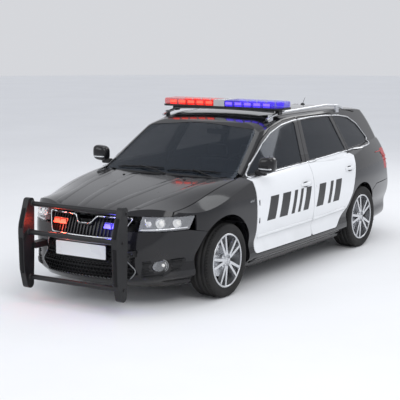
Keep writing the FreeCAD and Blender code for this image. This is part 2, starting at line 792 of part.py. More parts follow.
def front_bumper():
    shape = layer(bumper_fender_line(0), bumper_wall, 0, lower_form)
    cuts = [cross_prism(upper_grille_outline, front_axle_x + 500, nose_x + 60, seat_gap),
            cross_prism(lower_grille_outline, front_axle_x + 500, nose_x + 60, seat_gap)]
    cuts += both_sides(arch_rod(front_arch_radius, front_arch_rise, front_axle_x, 200,
                                FORM_SIDE))
    cuts += both_sides(fog_space(seat_gap)) + both_sides(push_bracket(3))
    return biggest(shape.cut(cuts))


fog_y, fog_z, fog_r = 640.0, 358.0, 46.0


def fog_space(grow):
    start = Vector(front_axle_x + 480, fog_y, fog_z)
    return rod(fog_r + grow, start, Vector(nose_x, fog_y, fog_z))


def fog_lamp():
    return layer(fog_space(0), 40, 10, lower_form)


def head_lamp():
    corners = [(aft(-394), hood_z - panel_gap / 2, 8), (nose_x + 60, hood_z - panel_gap / 2, 0),
               (nose_x + 60, 648, 0), (aft(-452), 648, 8)]
    region = prism(corners, "xz", 492.0, FORM_SIDE)
    return biggest(layer(region, 60, 2, lower_form))


def rear_bumper():
    shape = rear_bumper_space(0).common(lower_form(0))
    return biggest(shape.cut(both_sides(
        arch_rod(rear_arch_radius, rear_arch_rise, rear_axle_x, 300, FORM_SIDE))))


def nose_at(y, z):
    """X of the nose at a distance from the middle and a height."""
    for (z0, x0, _, _), (z1, x1, _, _) in zip(lower_sections, lower_sections[1:]):
        if z0 <= z <= z1:
            setback = x0 + (x1 - x0) * (z - z0) / (z1 - z0)
            return nose_x - setback - y * y / (2 * lower_plan.nose_r)
    raise ValueError("height outside the nose")


def grille(corners, frame, bars):
    """A frame with bars across its opening and a thin backing."""
    x0, x1 = front_axle_x + 500, nose_x + 60
    opening = cross_prism(corners, x0, x1, -frame)
    ring = layer(cross_prism(corners, x0, x1).cut(opening), 34, 0, lower_form)
    back = layer(cross_prism(corners, x0, x1), 34, 30, lower_form)
    trimmed = cross_prism(corners, x0, x1, -frame / 2).common(Part.makeCompound(bars))
    return fuse([ring, back] + trimmed.Solids)


slat_pitch = 34.0
slat_count = 25
slat_set = 8.0                    # the slats' faces behind the nose's surface
slat_deep = 25.0
slat_half = 4.0
slat_low, slat_high = 572.0, 755.0
strobe_half = 35.0
strobe_places = (232.0, 306.0)
strobe_low, strobe_high = 655.0, 699.0


def slat_places():
    return [slat_pitch * (i - (slat_count - 1) / 2) for i in range(slat_count)]


def slat_face(y, z):
    """X of a slat's front edge, which is straight from its foot to its top."""
    share = (z - slat_low) / (slat_high - slat_low)
    return nose_at(y, slat_low) * (1 - share) + nose_at(y, slat_high) * share - slat_set


def upright_slat(y):
    """A grille slat across Y, from the backing to just behind the frame's face."""
    low, high = slat_face(y, slat_low), slat_face(y, slat_high)
    corners = [(low - slat_deep, slat_low, 0), (low, slat_low, 0),
               (high, slat_high, 0), (high - slat_deep, slat_high, 0)]
    return prism(corners, "xz", y - slat_half, y + slat_half)


def upper_grille():
    return grille(upper_grille_outline, 13, [upright_slat(y) for y in slat_places()])


def level_bar(z):
    """A bar across the nose at a height, bowed like it."""
    front = nose_at(0, z) - 8
    wide = 640.0
    drop = wide * wide / (2 * lower_plan.nose_r)
    edges = [
        Part.Arc(Vector(front - drop, -wide, z - 3), Vector(front, 0, z - 3),
                 Vector(front - drop, wide, z - 3)).toShape(),
        Part.makeLine(Vector(front - drop, wide, z - 3), Vector(front - drop - 24, wide, z - 3)),
        Part.Arc(Vector(front - drop - 24, wide, z - 3), Vector(front - 24, 0, z - 3),
                 Vector(front - drop - 24, -wide, z - 3)).toShape(),
        Part.makeLine(Vector(front - drop - 24, -wide, z - 3), Vector(front - drop, -wide, z - 3)),
    ]
    return Part.Face(Part.Wire(edges)).extrude(Z * 6)


def lower_grille():
    return grille(lower_grille_outline, 12, [level_bar(float(z)) for z in range(264, 520, 38)])


# ---------------------------------------------------------------- push bumper
push_y = 486.0
push_half = 28.0
bracket_z = 470.0
# X ahead of the nose, Z and rounding of an upright's outline
push_outline = [
    (push_reach - 150, 872, 32), (push_reach - 82, 872, 32), (push_reach, 640, 300),
    (push_reach - 8, 280, 300), (push_reach - 50, 108, 40), (push_reach - 122, 108, 40),
    (push_reach - 138, 420, 200),
]
# X ahead of the nose and Z of the cross tubes
push_tubes = [(58, 822), (112, 590), (98, 205)]
push_tube_r = 21.0


def push_bracket(grow):
    return box(beam_x + seat_gap - grow, nose_x + 70 + grow, rail_inner + 20 - grow,
               push_y + 10 + grow, bracket_z - 25 - grow, bracket_z + 25 + grow)


def push_bumper():
    corners = [(nose_x + x, z, r) for x, z, r in push_outline]
    upright = prism(corners, "xz", push_y - push_half, push_y + push_half)
    parts = both_sides(upright) + both_sides(push_bracket(0))
    for x, z in push_tubes:
        parts.append(rod(push_tube_r, Vector(nose_x + x, -push_y, z),
                         Vector(nose_x + x, push_y, z)))
    return fuse(parts)


def strobes(side):
    """Two small lamps on the upper grille's slats, one side of its middle."""
    lamps = []
    for y in strobe_places:
        slat = min(v for v in slat_places() if v > y - strobe_half)
        back = [slat_face(slat, z) + seat_gap for z in (strobe_low, strobe_high)]
        corners = [(back[0], strobe_low, 3), (back[0] + 16, strobe_low, 5),
                   (back[1] + 16, strobe_high, 5), (back[1], strobe_high, 3)]
        lamp = prism(corners, "xz", y - strobe_half, y + strobe_half)
        lamps.append(lamp if side > 0 else mirrored(lamp))
    return lamps


# ---------------------------------------------------------------- roof
light_bar_x = aft(1400)
light_bar_half = 668.0
light_bar_depth = 285.0
light_bar_low = roof_height + 38.0
light_bar_top = roof_height + 115.0
rail_y = 585.0
roof_rail_r = 13.0


def light_bar_plan(grow):
    half, depth = light_bar_half + grow, light_bar_depth / 2 + grow
    return [(light_bar_x - depth, -half, 70), (light_bar_x + depth, -half, 70),
            (light_bar_x + depth, half, 70), (light_bar_x - depth, half, 70)]


def light_bar_base():
    tray = prism(light_bar_plan(0), "xy", light_bar_low, light_bar_low + 16)
    bar = box(light_bar_x - 20, light_bar_x + 20, -rail_y, rail_y,
              light_bar_low - 18, light_bar_low)
    centre = prism(light_bar_plan(-3), "xy", light_bar_low + 16, light_bar_top).common(
        box(light_bar_x - 200, light_bar_x + 200, -60, 60, 0, FAR))
    return fuse([tray, bar, centre])


def light_bar_lens(side):
    lens = prism(light_bar_plan(-3), "xy", light_bar_low + 16 + seat_gap, light_bar_top)
    lens = lens.common(box(light_bar_x - 200, light_bar_x + 200, 60 + seat_gap, 900, 0, FAR))
    return lens if side > 0 else mirrored(lens)


# distance behind the front axle and height of a roof rail's middle line
rail_points = [(1165, 1420), (1290, 1452), (1420, 1472), (2400, 1486), (2650, 1466), (2770, 1432)]


def roof_rail():
    corners = [Vector(aft(d), rail_y, z) for d, z in rail_points]
    parts = [rod(roof_rail_r, a, b) for a, b in zip(corners, corners[1:])]
    parts += [Part.makeSphere(roof_rail_r, c) for c in corners[1:-1]]
    rail = fuse(parts)
    for d in (1240, 2000, 2640):
        rail = rail.fuse(box(aft(d) - 35, aft(d) + 35, rail_y - 8, rail_y + 8, 1395, 1462))
    return biggest(rail.cut(body_form(0)))


# ---------------------------------------------------------------- wheels
stub_r = 30.0


def revolve_y(profile, x, y_mid, z):
    """A closed profile of (radius, offset along Y) turned about a wheel's axis."""
    points = [Vector(x, y_mid + off, z + r) for r, off in profile]
    wire = Part.makePolygon(points + [points[0]])
    return Part.Face(wire).revolve(Vector(x, y_mid, z), Y, 360)


def tyre(x, y_mid):
    half = tyre_width / 2
    profile = [(rim_radius, -half + 12), (rim_radius + 45, -half), (tyre_radius - 14, -half + 9),
               (tyre_radius, -half + 32), (tyre_radius, half - 32),
               (tyre_radius - 14, half - 9), (rim_radius + 45, half), (rim_radius, half - 12)]
    return revolve_y(profile, x, y_mid, wheel_z)


def rim(x, y_mid):
    half = tyre_width / 2 - 12
    barrel = revolve_y([(rim_radius - 10, -half), (rim_radius, -half), (rim_radius, half),
                        (rim_radius - 16, half), (rim_radius - 10, half - 30)],
                       x, y_mid, wheel_z)
    hub = rod(72, Vector(x, y_mid + 15, wheel_z), Vector(x, y_mid + 82, wheel_z))
    disc = rod(145, Vector(x, y_mid - 6, wheel_z), Vector(x, y_mid + 16, wheel_z))
    spokes = []
    for pair in range(5):
        for lean in (-11, 11):
            spoke = outline([(50, -13, 0), (rim_radius - 8, -11, 0),
                             (rim_radius - 8, 11, 0), (50, 13, 0)], "xy", 0)
            solid = Part.Face(spoke).extrude(Z * 34)
            solid.rotate(Vector(0, 0, 0), X, 90)
            solid.rotate(Vector(0, 0, 0), Y, 72 * pair + lean)
            solid.translate(Vector(x, y_mid + half, wheel_z))
            spokes.append(solid)
    wheel = fuse([barrel, hub, disc] + spokes)
    bore = rod(stub_r + pin_clearance, Vector(x, y_mid - 10, wheel_z),
               Vector(x, y_mid + 55, wheel_z))
    return wheel.cut(bore)


# ---------------------------------------------------------------- front suspension
front_wheel_y = front_track / 2
rear_wheel_y = rear_track / 2
ball_y, ball_z = 725.0, 160.0
strut_top_y, strut_top_z = 560.0, 800.0
strut_r = 25.0
ball_r = 9.0


def kingpin(z):
    """A point on the steering axis at a height."""
    share = (z - ball_z) / (strut_top_z - ball_z)
    return Vector(front_axle_x, ball_y + share * (strut_top_y - ball_y), z)


def knuckle():
    x = front_axle_x
    root = Vector(x, front_wheel_y - 72, wheel_z)
    boss = rod(50, root, root + Y * 48)
    stub = rod(stub_r, root, Vector(x, front_wheel_y + 55 - seat_gap, wheel_z))
    upper = box(x - 24, x + 24, kingpin(430).y - 20, front_wheel_y - 45, wheel_z, 470)
    lower = box(x - 24, x + 24, ball_y - 30, front_wheel_y - 24, 150, wheel_z)
    eye = rod(strut_r + 13, kingpin(390), kingpin(470))
    ball_eye = rod(ball_r + 11, kingpin(148), kingpin(190))
    shape = fuse([boss, stub, upper, lower, eye, ball_eye])
    shape = shape.cut(rod(strut_r + pin_clearance, kingpin(362), kingpin(560)))
    return shape.cut(rod(ball_r + pin_clearance, kingpin(100), kingpin(182)))


def front_subframe():
    """The cross-member, lower arms and struts that carry the front wheels."""
    x = front_axle_x
    cross = box(x - 160, x + 130, -360, 360, 190, 250)
    parts = [cross]
    for side in (1,):
        arm = prism([(x - 130, 340, 0), (x + 110, 340, 0), (x + 26, 735, 20), (x - 26, 735, 20)],
                    "xy", 112, 132)
        riser = box(x - 130, x + 110, 330, 360, 112, 200)
        ball = rod(ball_r, kingpin(118), kingpin(176))
        strut = rod(strut_r, kingpin(365), kingpin(strut_top_z))
        spring = tube(60, 48, kingpin(672), kingpin(780))
        seat = rod(64, kingpin(664), kingpin(672))
        top = rod(64, kingpin(780), kingpin(792))
        parts += both_sides(fuse([arm, riser, ball]))
        struts = fuse([strut, spring, seat, top])
        struts = struts.common(box(x - 200, x + 200, 0, 900, 0, strut_top_z))
        parts += both_sides(struts)
    posts = [box(x - 160, x - 100, y - 30, y + 30, 250, rail_low - seat_gap)
             for y in (-434, 434)]
    wings = [box(x - 160, x - 100, -470, 470, 225, 250)]
    return fuse(parts + wings + posts)


def rear_axle():
    """Stub axles, trailing arms, cross-member and springs."""
    x = rear_axle_x
    left = fuse([
        rod(stub_r, Vector(x, 530, wheel_z), Vector(x, rear_wheel_y + 55 - seat_gap, wheel_z)),
        rod(52, Vector(x, rear_wheel_y - 72, wheel_z), Vector(x, rear_wheel_y - 24, wheel_z)),
        box(x - 50, x + 165, 500, 570, 250, 330),
        box(x + 120, x + 520, 500, 570, 205, 262),
        box(x + 470, x + 520, 500, 570, 262, floor_z - floor_thickness - seat_gap),
        box(x - 60, x + 60, 440, 560, 318, 330),
        tube(52, 42, Vector(x, 500, 330),
             Vector(x, 500, rear_floor_z - floor_thickness - seat_gap)),
    ])
    beam = rod(36, Vector(x + 120, -520, 300), Vector(x + 120, 520, 300))
    return fuse(both_sides(left) + [beam])


def exhaust():
    muffler = box(fore(-640), fore(-360), -520, -80, 200, 300)
    pipe = rod(28, Vector(fore(-430), -200, 225), Vector(aft(300), -200, 225))
    hanger = box(fore(-520), fore(-500), -400, -380, 300,
                 rear_floor_z - floor_thickness - seat_gap)
    tail = rod(26, Vector(fore(-630), -430, 232), Vector(fore(-740), -430, 232))
    return fuse([muffler, pipe, hanger, tail])


def engine_block():
    mounts = [box(aft(-130), aft(-180), y - 21.7, y + 21.7, 440, 500) for y in (-378, 378)]
    block = box(aft(-60), aft(-520), -360, 360, 330, 800)
    return fuse([block] + mounts)


# ---------------------------------------------------------------- inside
seat_y = 370.0


def seat(x, y, width, back_top, floor):
    """A seat: a base on the floor, a cushion, a leaning back and a head rest."""
    half = width / 2
    cushion = prism([(x + 470, floor + 110, 20), (x + 480, floor + 230, 40), (x + 20, floor + 200, 30),
                     (x, floor + 110, 20)], "xz", y - half, y + half)
    back = prism([(x + 70, floor + 180, 30), (x - 40, floor + 170, 30), (x - 240, back_top, 40),
                  (x - 130, back_top + 15, 40)], "xz", y - half + 15, y + half - 15)
    base = box(x + 60, x + 420, y - half + 60, y + half - 60, floor, floor + 130)
    rest = prism([(x - 160, back_top - 20, 10), (x - 150, back_top + 150, 30),
                  (x - 240, back_top + 155, 30), (x - 245, back_top - 20, 10)],
                 "xz", y - 120, y + 120)
    return fuse([cushion, back, base, rest])


def front_seats():
    return loose(both_sides(seat(aft(1640), seat_y, 500, 940, floor_z)))


def rear_bench():
    x = aft(2480)
    low = floor_z + seat_gap
    cushion = prism([(x + 420, low, 20), (x + 430, 560, 50), (x + 5, 530, 10), (x + 5, low, 20)],
                    "xz", -560, 560)
    back = prism([(x + 90, 505, 20), (x - 60, 505, 20), (x - 210, 1000, 40), (x - 110, 1010, 40)],
                 "xz", -560, 560)
    rests = [prism([(x - 130, 980, 10), (x - 125, 1130, 30), (x - 205, 1135, 30),
                    (x - 210, 980, 10)], "xz", y - 110, y + 110) for y in (-330, 330)]
    return fuse([cushion, back] + rests)


wheel_centre = Vector(aft(1120), seat_y, 925)
column_tilt = math.radians(24)
column_axis = Vector(-math.cos(column_tilt), 0, math.sin(column_tilt))
column_r = 14.0


def dashboard():
    corners = [(firewall_x - 15 - seat_gap, 600, 10), (firewall_x - 15 - seat_gap, 868, 10),
               (aft(620), 928, 60), (aft(735), 905, 50), (aft(700), 740, 60), (aft(560), 600, 40)]
    dash = prism(corners, "xz", -790, 790).common(side_form(lower_wall + 16))
    column = rod(34, wheel_centre - column_axis * 450, wheel_centre - column_axis * 60)
    shaft = rod(column_r, wheel_centre - column_axis * 80, wheel_centre - column_axis * 2)
    return fuse([dash, column, shaft])


def steering_wheel():
    ring = Part.makeTorus(178, 15, wheel_centre, column_axis)
    hub = rod(62, wheel_centre - column_axis * 30, wheel_centre + column_axis * 22)
    spokes = []
    across = Y
    down = column_axis.cross(Y)
    for direction in (across, across * -1, down * (1 if down.z < 0 else -1)):
        spokes.append(rod(13, wheel_centre - column_axis * 8,
                          wheel_centre - column_axis * 8 + direction * 176))
    shape = fuse([ring, hub] + spokes)
    return shape.cut(rod(column_r + pin_clearance, wheel_centre - column_axis * 40,
                         wheel_centre - column_axis * (2 - seat_gap)))


# ---------------------------------------------------------------- all pieces
def pieces():
    yield "body_shell", body_shell()
    fender = front_fender()
    yield "front_fenders", loose(both_sides(fender))
    yield "front_bumper", front_bumper()
    yield "rear_bumper", rear_bumper()
    yield "upper_grille", upper_grille()
    yield "lower_grille", lower_grille()
    yield "front_lamps", loose(both_sides(head_lamp()) + both_sides(fog_lamp()))
    yield "tail_lamps", loose(both_sides(tail_lamp_space(0).common(lower_form(2))))
    yield "windscreen", windscreen()
    yield "quarter_glass", loose(both_sides(side_glass(quarter_glass_outline)))
    yield "roof_rails", loose(both_sides(roof_rail()))
    yield "light_bar_base", light_bar_base()
    yield "light_bar_blue", light_bar_lens(1)
    yield "light_bar_red", light_bar_lens(-1)
    yield "push_bumper", push_bumper()
    yield "strobes_blue", loose(strobes(1))
    yield "strobes_red", loose(strobes(-1))
    yield "front_subframe", front_subframe()
    yield "rear_axle", rear_axle()
    yield "exhaust", exhaust()
    yield "engine_block", engine_block()
    yield "front_seats", front_seats()
    yield "rear_bench", rear_bench()
    yield "dashboard", dashboard()
    yield "steering_wheel", steering_wheel()
    yield "hood", hood()
    yield "tailgate", tailgate()
    yield "tailgate_glass", biggest(layer(
        cross_prism(tailgate_glass_outline, tail_x - 50, aft(3300)),
        glass_inner, glass_outer, cabin_form))
    yield "tailgate_lamps", loose(both_sides(
        tailgate_lamp_space(0).common(lower_form(2)).common(
            cross_prism(tailgate_outline, tail_x - 50, tailgate_top_x))))
    for name, corners, glass, front in (
            ("front", front_door_outline, front_glass_outline, front_door_front),
            ("rear", rear_door_outline, rear_glass_outline, rear_door_front)):
        for side, panel, pane in zip(("left", "right"),
                                     both_sides(door(corners, glass, front)),
                                     both_sides(side_glass(glass))):
            yield "%s_door_%s" % (name, side), panel
            yield "%s_glass_%s" % (name, side), pane
    for side, housing in zip(("left", "right"), both_sides(mirror_housing())):
        yield "mirror_%s" % side, housing
    for side, shape in zip(("left", "right"), both_sides(knuckle())):
        yield "knuckle_%s" % side, shape
    for axle, x, y in (("front", front_axle_x, front_wheel_y), ("rear", rear_axle_x, rear_wheel_y)):
        for side, rubber, metal in zip(("left", "right"), both_sides(tyre(x, y)),
                                       both_sides(rim(x, y))):
            yield "tyre_%s_%s" % (axle, side), rubber
            yield "rim_%s_%s" % (axle, side), metal


os.makedirs("parts", exist_ok=True)
for piece_name, piece in pieces():
    piece.exportStep("parts/%s.step" % piece_name)
    print(piece_name, len(piece.Solids), piece.isValid(), round(piece.Volume / 1e6, 2))
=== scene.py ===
"""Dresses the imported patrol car: finishes, trim, lamps, glass, wheels and cabin."""
import math

import bmesh
import bpy
from mathutils import Matrix, Vector
from mathutils.bvhtree import BVHTree


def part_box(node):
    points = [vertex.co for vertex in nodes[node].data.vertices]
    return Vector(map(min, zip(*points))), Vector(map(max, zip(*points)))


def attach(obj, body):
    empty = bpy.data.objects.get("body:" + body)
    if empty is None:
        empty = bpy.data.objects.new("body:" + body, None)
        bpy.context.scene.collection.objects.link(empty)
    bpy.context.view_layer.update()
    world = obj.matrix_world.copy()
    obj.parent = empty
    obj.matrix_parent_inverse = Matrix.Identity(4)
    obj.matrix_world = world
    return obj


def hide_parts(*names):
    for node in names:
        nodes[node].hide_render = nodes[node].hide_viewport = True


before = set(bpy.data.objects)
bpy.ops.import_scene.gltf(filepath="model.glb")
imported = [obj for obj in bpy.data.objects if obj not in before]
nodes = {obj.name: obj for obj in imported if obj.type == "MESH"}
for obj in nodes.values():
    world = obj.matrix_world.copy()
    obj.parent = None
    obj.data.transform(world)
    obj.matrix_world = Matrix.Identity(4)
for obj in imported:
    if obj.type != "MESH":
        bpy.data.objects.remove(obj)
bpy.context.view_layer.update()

# ------------------------------------------------------------------ places, metres
FRONT_X = 1.342                    # front axle
REAR_X = FRONT_X - 2.686
WHEEL_Z = 0.318
CAR = "car"


def aft(d):
    return FRONT_X - d


# ------------------------------------------------------------------ materials
class Shader:
    """A Principled material and a few nodes that vary it."""

    def __init__(self, name, color, rough=0.5, metal=0.0, **sockets):
        self.mat = bpy.data.materials.new(name)
        self.mat.use_nodes = True
        self.tree = self.mat.node_tree
        self.bsdf = self.tree.nodes["Principled BSDF"]
        self.put("Base Color", color)
        self.put("Roughness", rough)
        self.put("Metallic", metal)
        for key, value in sockets.items():
            self.put(key.replace("_", " "), value)
        self.coords = self.node("ShaderNodeTexCoord")

    def node(self, kind, **settings):
        made = self.tree.nodes.new(kind)
        for key, value in settings.items():
            setattr(made, key, value)
        return made

    def link(self, out, into):
        self.tree.links.new(out, into)
        return out

    def put(self, socket, value):
        if isinstance(value, (tuple, list)) and len(value) == 3:
            value = (*value, 1.0)
        self.bsdf.inputs[socket].default_value = value

    def noise(self, scale, detail=4.0, rough=0.55, stretch=None):
        tex = self.node("ShaderNodeTexNoise")
        tex.inputs["Scale"].default_value = scale
        tex.inputs["Detail"].default_value = detail
        tex.inputs["Roughness"].default_value = rough
        if stretch:
            mapping = self.node("ShaderNodeMapping")
            mapping.inputs["Scale"].default_value = stretch
            self.link(self.coords.outputs["Object"], mapping.inputs["Vector"])
            self.link(mapping.outputs["Vector"], tex.inputs["Vector"])
        else:
            self.link(self.coords.outputs["Object"], tex.inputs["Vector"])
        return tex.outputs["Fac"]

    def spread(self, fac, low, high, lo=0.3, hi=0.7):
        """The factor's range lo to hi mapped to low to high."""
        ramp = self.node("ShaderNodeMapRange")
        self.link(fac, ramp.inputs["Value"])
        for key, value in (("From Min", lo), ("From Max", hi), ("To Min", low), ("To Max", high)):
            ramp.inputs[key].default_value = value
        return ramp.outputs["Result"]

    def mix(self, fac, a, b):
        node = self.node("ShaderNodeMix", data_type="RGBA")
        self.link(fac, node.inputs["Factor"])
        for socket, value in (("A", a), ("B", b)):
            target = [s for s in node.inputs if s.name == socket and s.type == "RGBA"][0]
            if isinstance(value, tuple):
                target.default_value = (*value, 1.0)
            else:
                self.link(value, target)
        return [s for s in node.outputs if s.type == "RGBA"][0]

    def color(self, out):
        self.link(out, self.bsdf.inputs["Base Color"])

    def rough(self, out):
        self.link(out, self.bsdf.inputs["Roughness"])

    def bump(self, height, distance, strength=0.5):
        node = self.node("ShaderNodeBump")
        node.inputs["Strength"].default_value = strength
        node.inputs["Distance"].default_value = distance
        self.link(height, node.inputs["Height"])
        self.link(node.outputs["Normal"], self.bsdf.inputs["Normal"])
        return node

    def axis(self, name):
        split = self.node("ShaderNodeSeparateXYZ")
        self.link(self.coords.outputs["Object"], split.inputs[0])
        return split.outputs[name]

    def math(self, operation, a, b=None):
        node = self.node("ShaderNodeMath", operation=operation)
        for socket, value in zip(node.inputs, (a, b)):
            if value is None:
                continue
            if isinstance(value, (int, float)):
                socket.default_value = value
            else:
                self.link(value, socket)
        return node.outputs[0]


def varied(name, color, rough, metal=0.0, scale=3.0, tint=0.12, grain=0.0, grain_scale=900.0,
           rough_span=0.08, stretch=None, **sockets):
    """A finish whose colour and gloss drift a little, with an optional fine grain."""
    s = Shader(name, color, rough, metal, **sockets)
    drift = s.noise(scale, stretch=stretch)
    dark = tuple(c * (1 - tint) for c in color[:3])
    light = tuple(min(1.0, c * (1 + tint)) for c in color[:3])
    s.color(s.mix(s.spread(drift, 0.0, 1.0), dark, light))
    s.rough(s.spread(drift, max(0.02, rough - rough_span), rough + rough_span))
    if grain:
        s.bump(s.noise(grain_scale, 2.0, stretch=stretch), 0.001, grain)
    return s.mat


def paint(name, color, rough=0.12):
    """Gloss paint: a clear coat over a coat with the faintest orange peel and some dust."""
    s = Shader(name, color, rough, 0.0, Coat_Weight=0.45, Coat_Roughness=0.03, Coat_IOR=1.4,
               Specular_IOR_Level=0.3)
    dust = s.spread(s.noise(1.7, 6.0, 0.6), 0.0, 1.0, 0.45, 0.75)
    low = s.spread(s.axis("Z"), 1.0, 0.0, 0.15, 0.55)
    worn = s.math("MULTIPLY", dust, s.math("ADD", s.math("MULTIPLY", low, 0.22), 0.02))
    s.color(s.mix(worn, tuple(color), (0.16, 0.145, 0.125)))
    s.rough(s.spread(worn, rough, rough + 0.4, 0.0, 1.0))
    s.bump(s.noise(55.0, 1.0), 0.0004, 0.05)
    return s


body_black = paint("gloss_black", (0.008, 0.008, 0.0095)).mat


def door_paint():
    """White below the belt line on the outer skin, gloss black above it, and dark trim inside."""
    s = paint("door_white_black", (0.82, 0.83, 0.84), 0.16)
    x, z = s.axis("X"), s.axis("Z")
    y = s.math("ABSOLUTE", s.axis("Y"))
    belt = s.math("ADD", 0.966, s.math("MULTIPLY", s.math("SUBTRACT", aft(0.45), x), 0.0306))
    above = s.math("GREATER_THAN", z, belt)
    inner = s.math("LESS_THAN", y, s.spread(z, 0.850, 0.775, 0.84, 1.0))
    painted = s.bsdf.inputs["Base Color"].links[0].from_socket
    black = s.mix(above, painted, (0.01, 0.01, 0.011))
    s.color(s.mix(inner, black, (0.028, 0.028, 0.03)))
    rough = s.bsdf.inputs["Roughness"].links[0].from_socket
    s.rough(s.math("ADD", rough, s.math("MULTIPLY", inner, 0.45)))
    return s.mat


black_plastic = varied("black_plastic", (0.011, 0.011, 0.012), 0.46, grain=0.25, grain_scale=700,
                       Specular_IOR_Level=0.3)
gloss_plastic = varied("gloss_black_plastic", (0.009, 0.009, 0.01), 0.22, Specular_IOR_Level=0.35)
dark_grain = varied("grained_trim", (0.03, 0.03, 0.032), 0.62, grain=0.5, grain_scale=420)
chrome = varied("chrome", (0.86, 0.87, 0.89), 0.1, 1.0, tint=0.03, rough_span=0.04)
satin_silver = varied("satin_silver", (0.62, 0.63, 0.65), 0.27, 1.0, tint=0.05,
                      stretch=(1, 60, 60), scale=6.0)
alloy = varied("wheel_alloy", (0.66, 0.67, 0.69), 0.28, 0.9, scale=9.0, tint=0.07, grain=0.05,
               grain_scale=1500)
steel = varied("machined_steel", (0.42, 0.42, 0.43), 0.35, 1.0, scale=20.0, grain=0.1)
iron = varied("cast_iron", (0.1, 0.098, 0.095), 0.65, 0.6, scale=14.0, tint=0.3, grain=0.5,
              grain_scale=260)
chassis = varied("chassis_paint", (0.03, 0.03, 0.032), 0.55, 0.2, scale=8.0, tint=0.3, grain=0.2,
                 grain_scale=300)
cast = varied("cast_aluminium", (0.42, 0.42, 0.43), 0.5, 0.9, scale=12.0, tint=0.15, grain=0.4,
              grain_scale=350)
pipe_steel = varied("exhaust_steel", (0.36, 0.33, 0.3), 0.4, 1.0, scale=10.0, tint=0.2)
coated = varied("powder_coat", (0.011, 0.011, 0.012), 0.4, 0.0, scale=5.0, tint=0.2, grain=0.35,
                grain_scale=900, Specular_IOR_Level=0.35)
rubber = varied("rubber", (0.01, 0.01, 0.011), 0.75, scale=7.0, tint=0.25, grain=0.3,
                grain_scale=500, Specular_IOR_Level=0.2)
handle_white = varied("gloss_white", (0.80, 0.81, 0.82), 0.2, scale=4.0, tint=0.03)
mirror_finish = varied("mirror_glass", (0.75, 0.77, 0.78), 0.04, 1.0, tint=0.02, rough_span=0.02)
vinyl = varied("black_vinyl", (0.012, 0.012, 0.013), 0.35, scale=6.0)
plate_white = varied("plate_white", (0.78, 0.79, 0.8), 0.3, scale=4.0, tint=0.02)
reflector = varied("lamp_reflector", (0.9, 0.91, 0.93), 0.12, 1.0, scale=14.0, tint=0.02)
satin_grey = varied("satin_grey", (0.24, 0.245, 0.25), 0.4, 0.3, scale=8.0)


def bar_base():
    """Black where the light bar's domes stand, silver where its middle rises, with painted light
    and shade of ribs across the silver.
    """
    s = Shader("light_bar_base", (0.011, 0.011, 0.012), 0.42, Specular_IOR_Level=0.35)
    risen = s.math("GREATER_THAN", s.axis("Z"), 1.5205)
    # painted shade and highlight: light and dark grey bands at the ribs' pitch stand for light
    # falling on ribs
    ribs = s.spread(s.math("SINE", s.math("MULTIPLY", s.axis("Y"), 480.0)), 0.0, 1.0, -1.0, 1.0)
    rib_silver_painted_shade = s.mix(ribs, (0.34, 0.345, 0.35), (0.62, 0.63, 0.64))
    s.color(s.mix(risen, s.mix(s.noise(6.0), (0.009, 0.009, 0.01), (0.014, 0.014, 0.015)), rib_silver_painted_shade))
    return s.mat


def clear(name, color, alpha, rough=0.02, **sockets):
    s = Shader(name, color, rough, 0.0, Alpha=alpha, **sockets)
    s.mat.surface_render_method = "BLENDED"
    film = s.noise(2.2, 5.0)
    s.rough(s.spread(film, rough, rough + 0.05))
    return s.mat


window = clear("tinted_glass", (0.008, 0.010, 0.013), 0.7, Specular_Tint=(0.72, 0.82, 1.0))
screen = clear("windscreen_glass", (0.012, 0.016, 0.022), 0.5, Specular_Tint=(0.7, 0.82, 1.0))
# the lenses' pale silver colour is a painted reflection of the bright chrome inside the lamps; the
# glass itself is clear
lamp_glass_painted_sheen = clear("lamp_glass_painted_sheen", (0.62, 0.63, 0.65), 0.26)
red_glass = clear("red_lens", (0.5, 0.006, 0.008), 0.5, 0.04,
                  Emission_Color=(1.0, 0.02, 0.01), Emission_Strength=0.16)
blue_glass = clear("blue_lens", (0.04, 0.02, 0.55), 0.5, 0.04,
                   Emission_Color=(0.08, 0.02, 1.0), Emission_Strength=0.16)
tail_red = clear("tail_lamp_lens", (0.5, 0.006, 0.008), 0.86, 0.05)


def lit(name, color, strength):
    """A lamp that is on, ribbed like the face of an LED module."""
    s = Shader(name, color, 0.3, 0.0, Emission_Color=color, Emission_Strength=strength)
    ribs = s.noise(260.0, 1.0)
    s.bump(ribs, 0.001, 0.3)
    s.color(s.mix(s.spread(ribs, 0.0, 1.0), tuple(c * 0.85 for c in color), color))
    return s.mat


led_red = lit("led_red", (1.0, 0.07, 0.04), 1.5)
led_red_soft = lit("led_red_low", (0.9, 0.02, 0.01), 0.9)
led_blue = lit("led_blue", (0.14, 0.08, 1.0), 1.5)
led_blue_soft = lit("led_blue_low", (0.06, 0.03, 0.8), 0.9)
strobe_red = lit("strobe_red", (1.0, 0.13, 0.07), 1.3)
strobe_blue = lit("strobe_blue", (0.2, 0.16, 1.0), 1.3)


lamp_core = lit("lamp_core", (0.9, 0.89, 0.86), 0.4)
bar_clear = clear("clear_lens", (0.66, 0.69, 0.72), 0.55, 0.05)


def weave(name, color):
    """Woven cloth: two crossed bands of threads over a soft drift of colour."""
    s = Shader(name, color, 0.9, 0.0, Sheen_Weight=0.3, Sheen_Roughness=0.5)
    bands = []
    for direction in ("X", "Z"):
        wave = s.node("ShaderNodeTexWave", bands_direction=direction)
        wave.inputs["Scale"].default_value = 240.0
        s.link(s.coords.outputs["Object"], wave.inputs["Vector"])
        bands.append(wave.outputs["Fac"])
    threads = s.math("MULTIPLY", *bands)
    drift = s.spread(s.noise(9.0), 0.0, 1.0)
    s.color(s.mix(drift, tuple(c * 0.8 for c in color), tuple(c * 1.25 for c in color)))
    s.bump(threads, 0.002, 0.5)
    return s.mat


seat_cloth = weave("seat_cloth", (0.032, 0.032, 0.036))
seat_side = varied("seat_leather", (0.022, 0.022, 0.023), 0.5, scale=12.0, grain=0.5,
                   grain_scale=260)


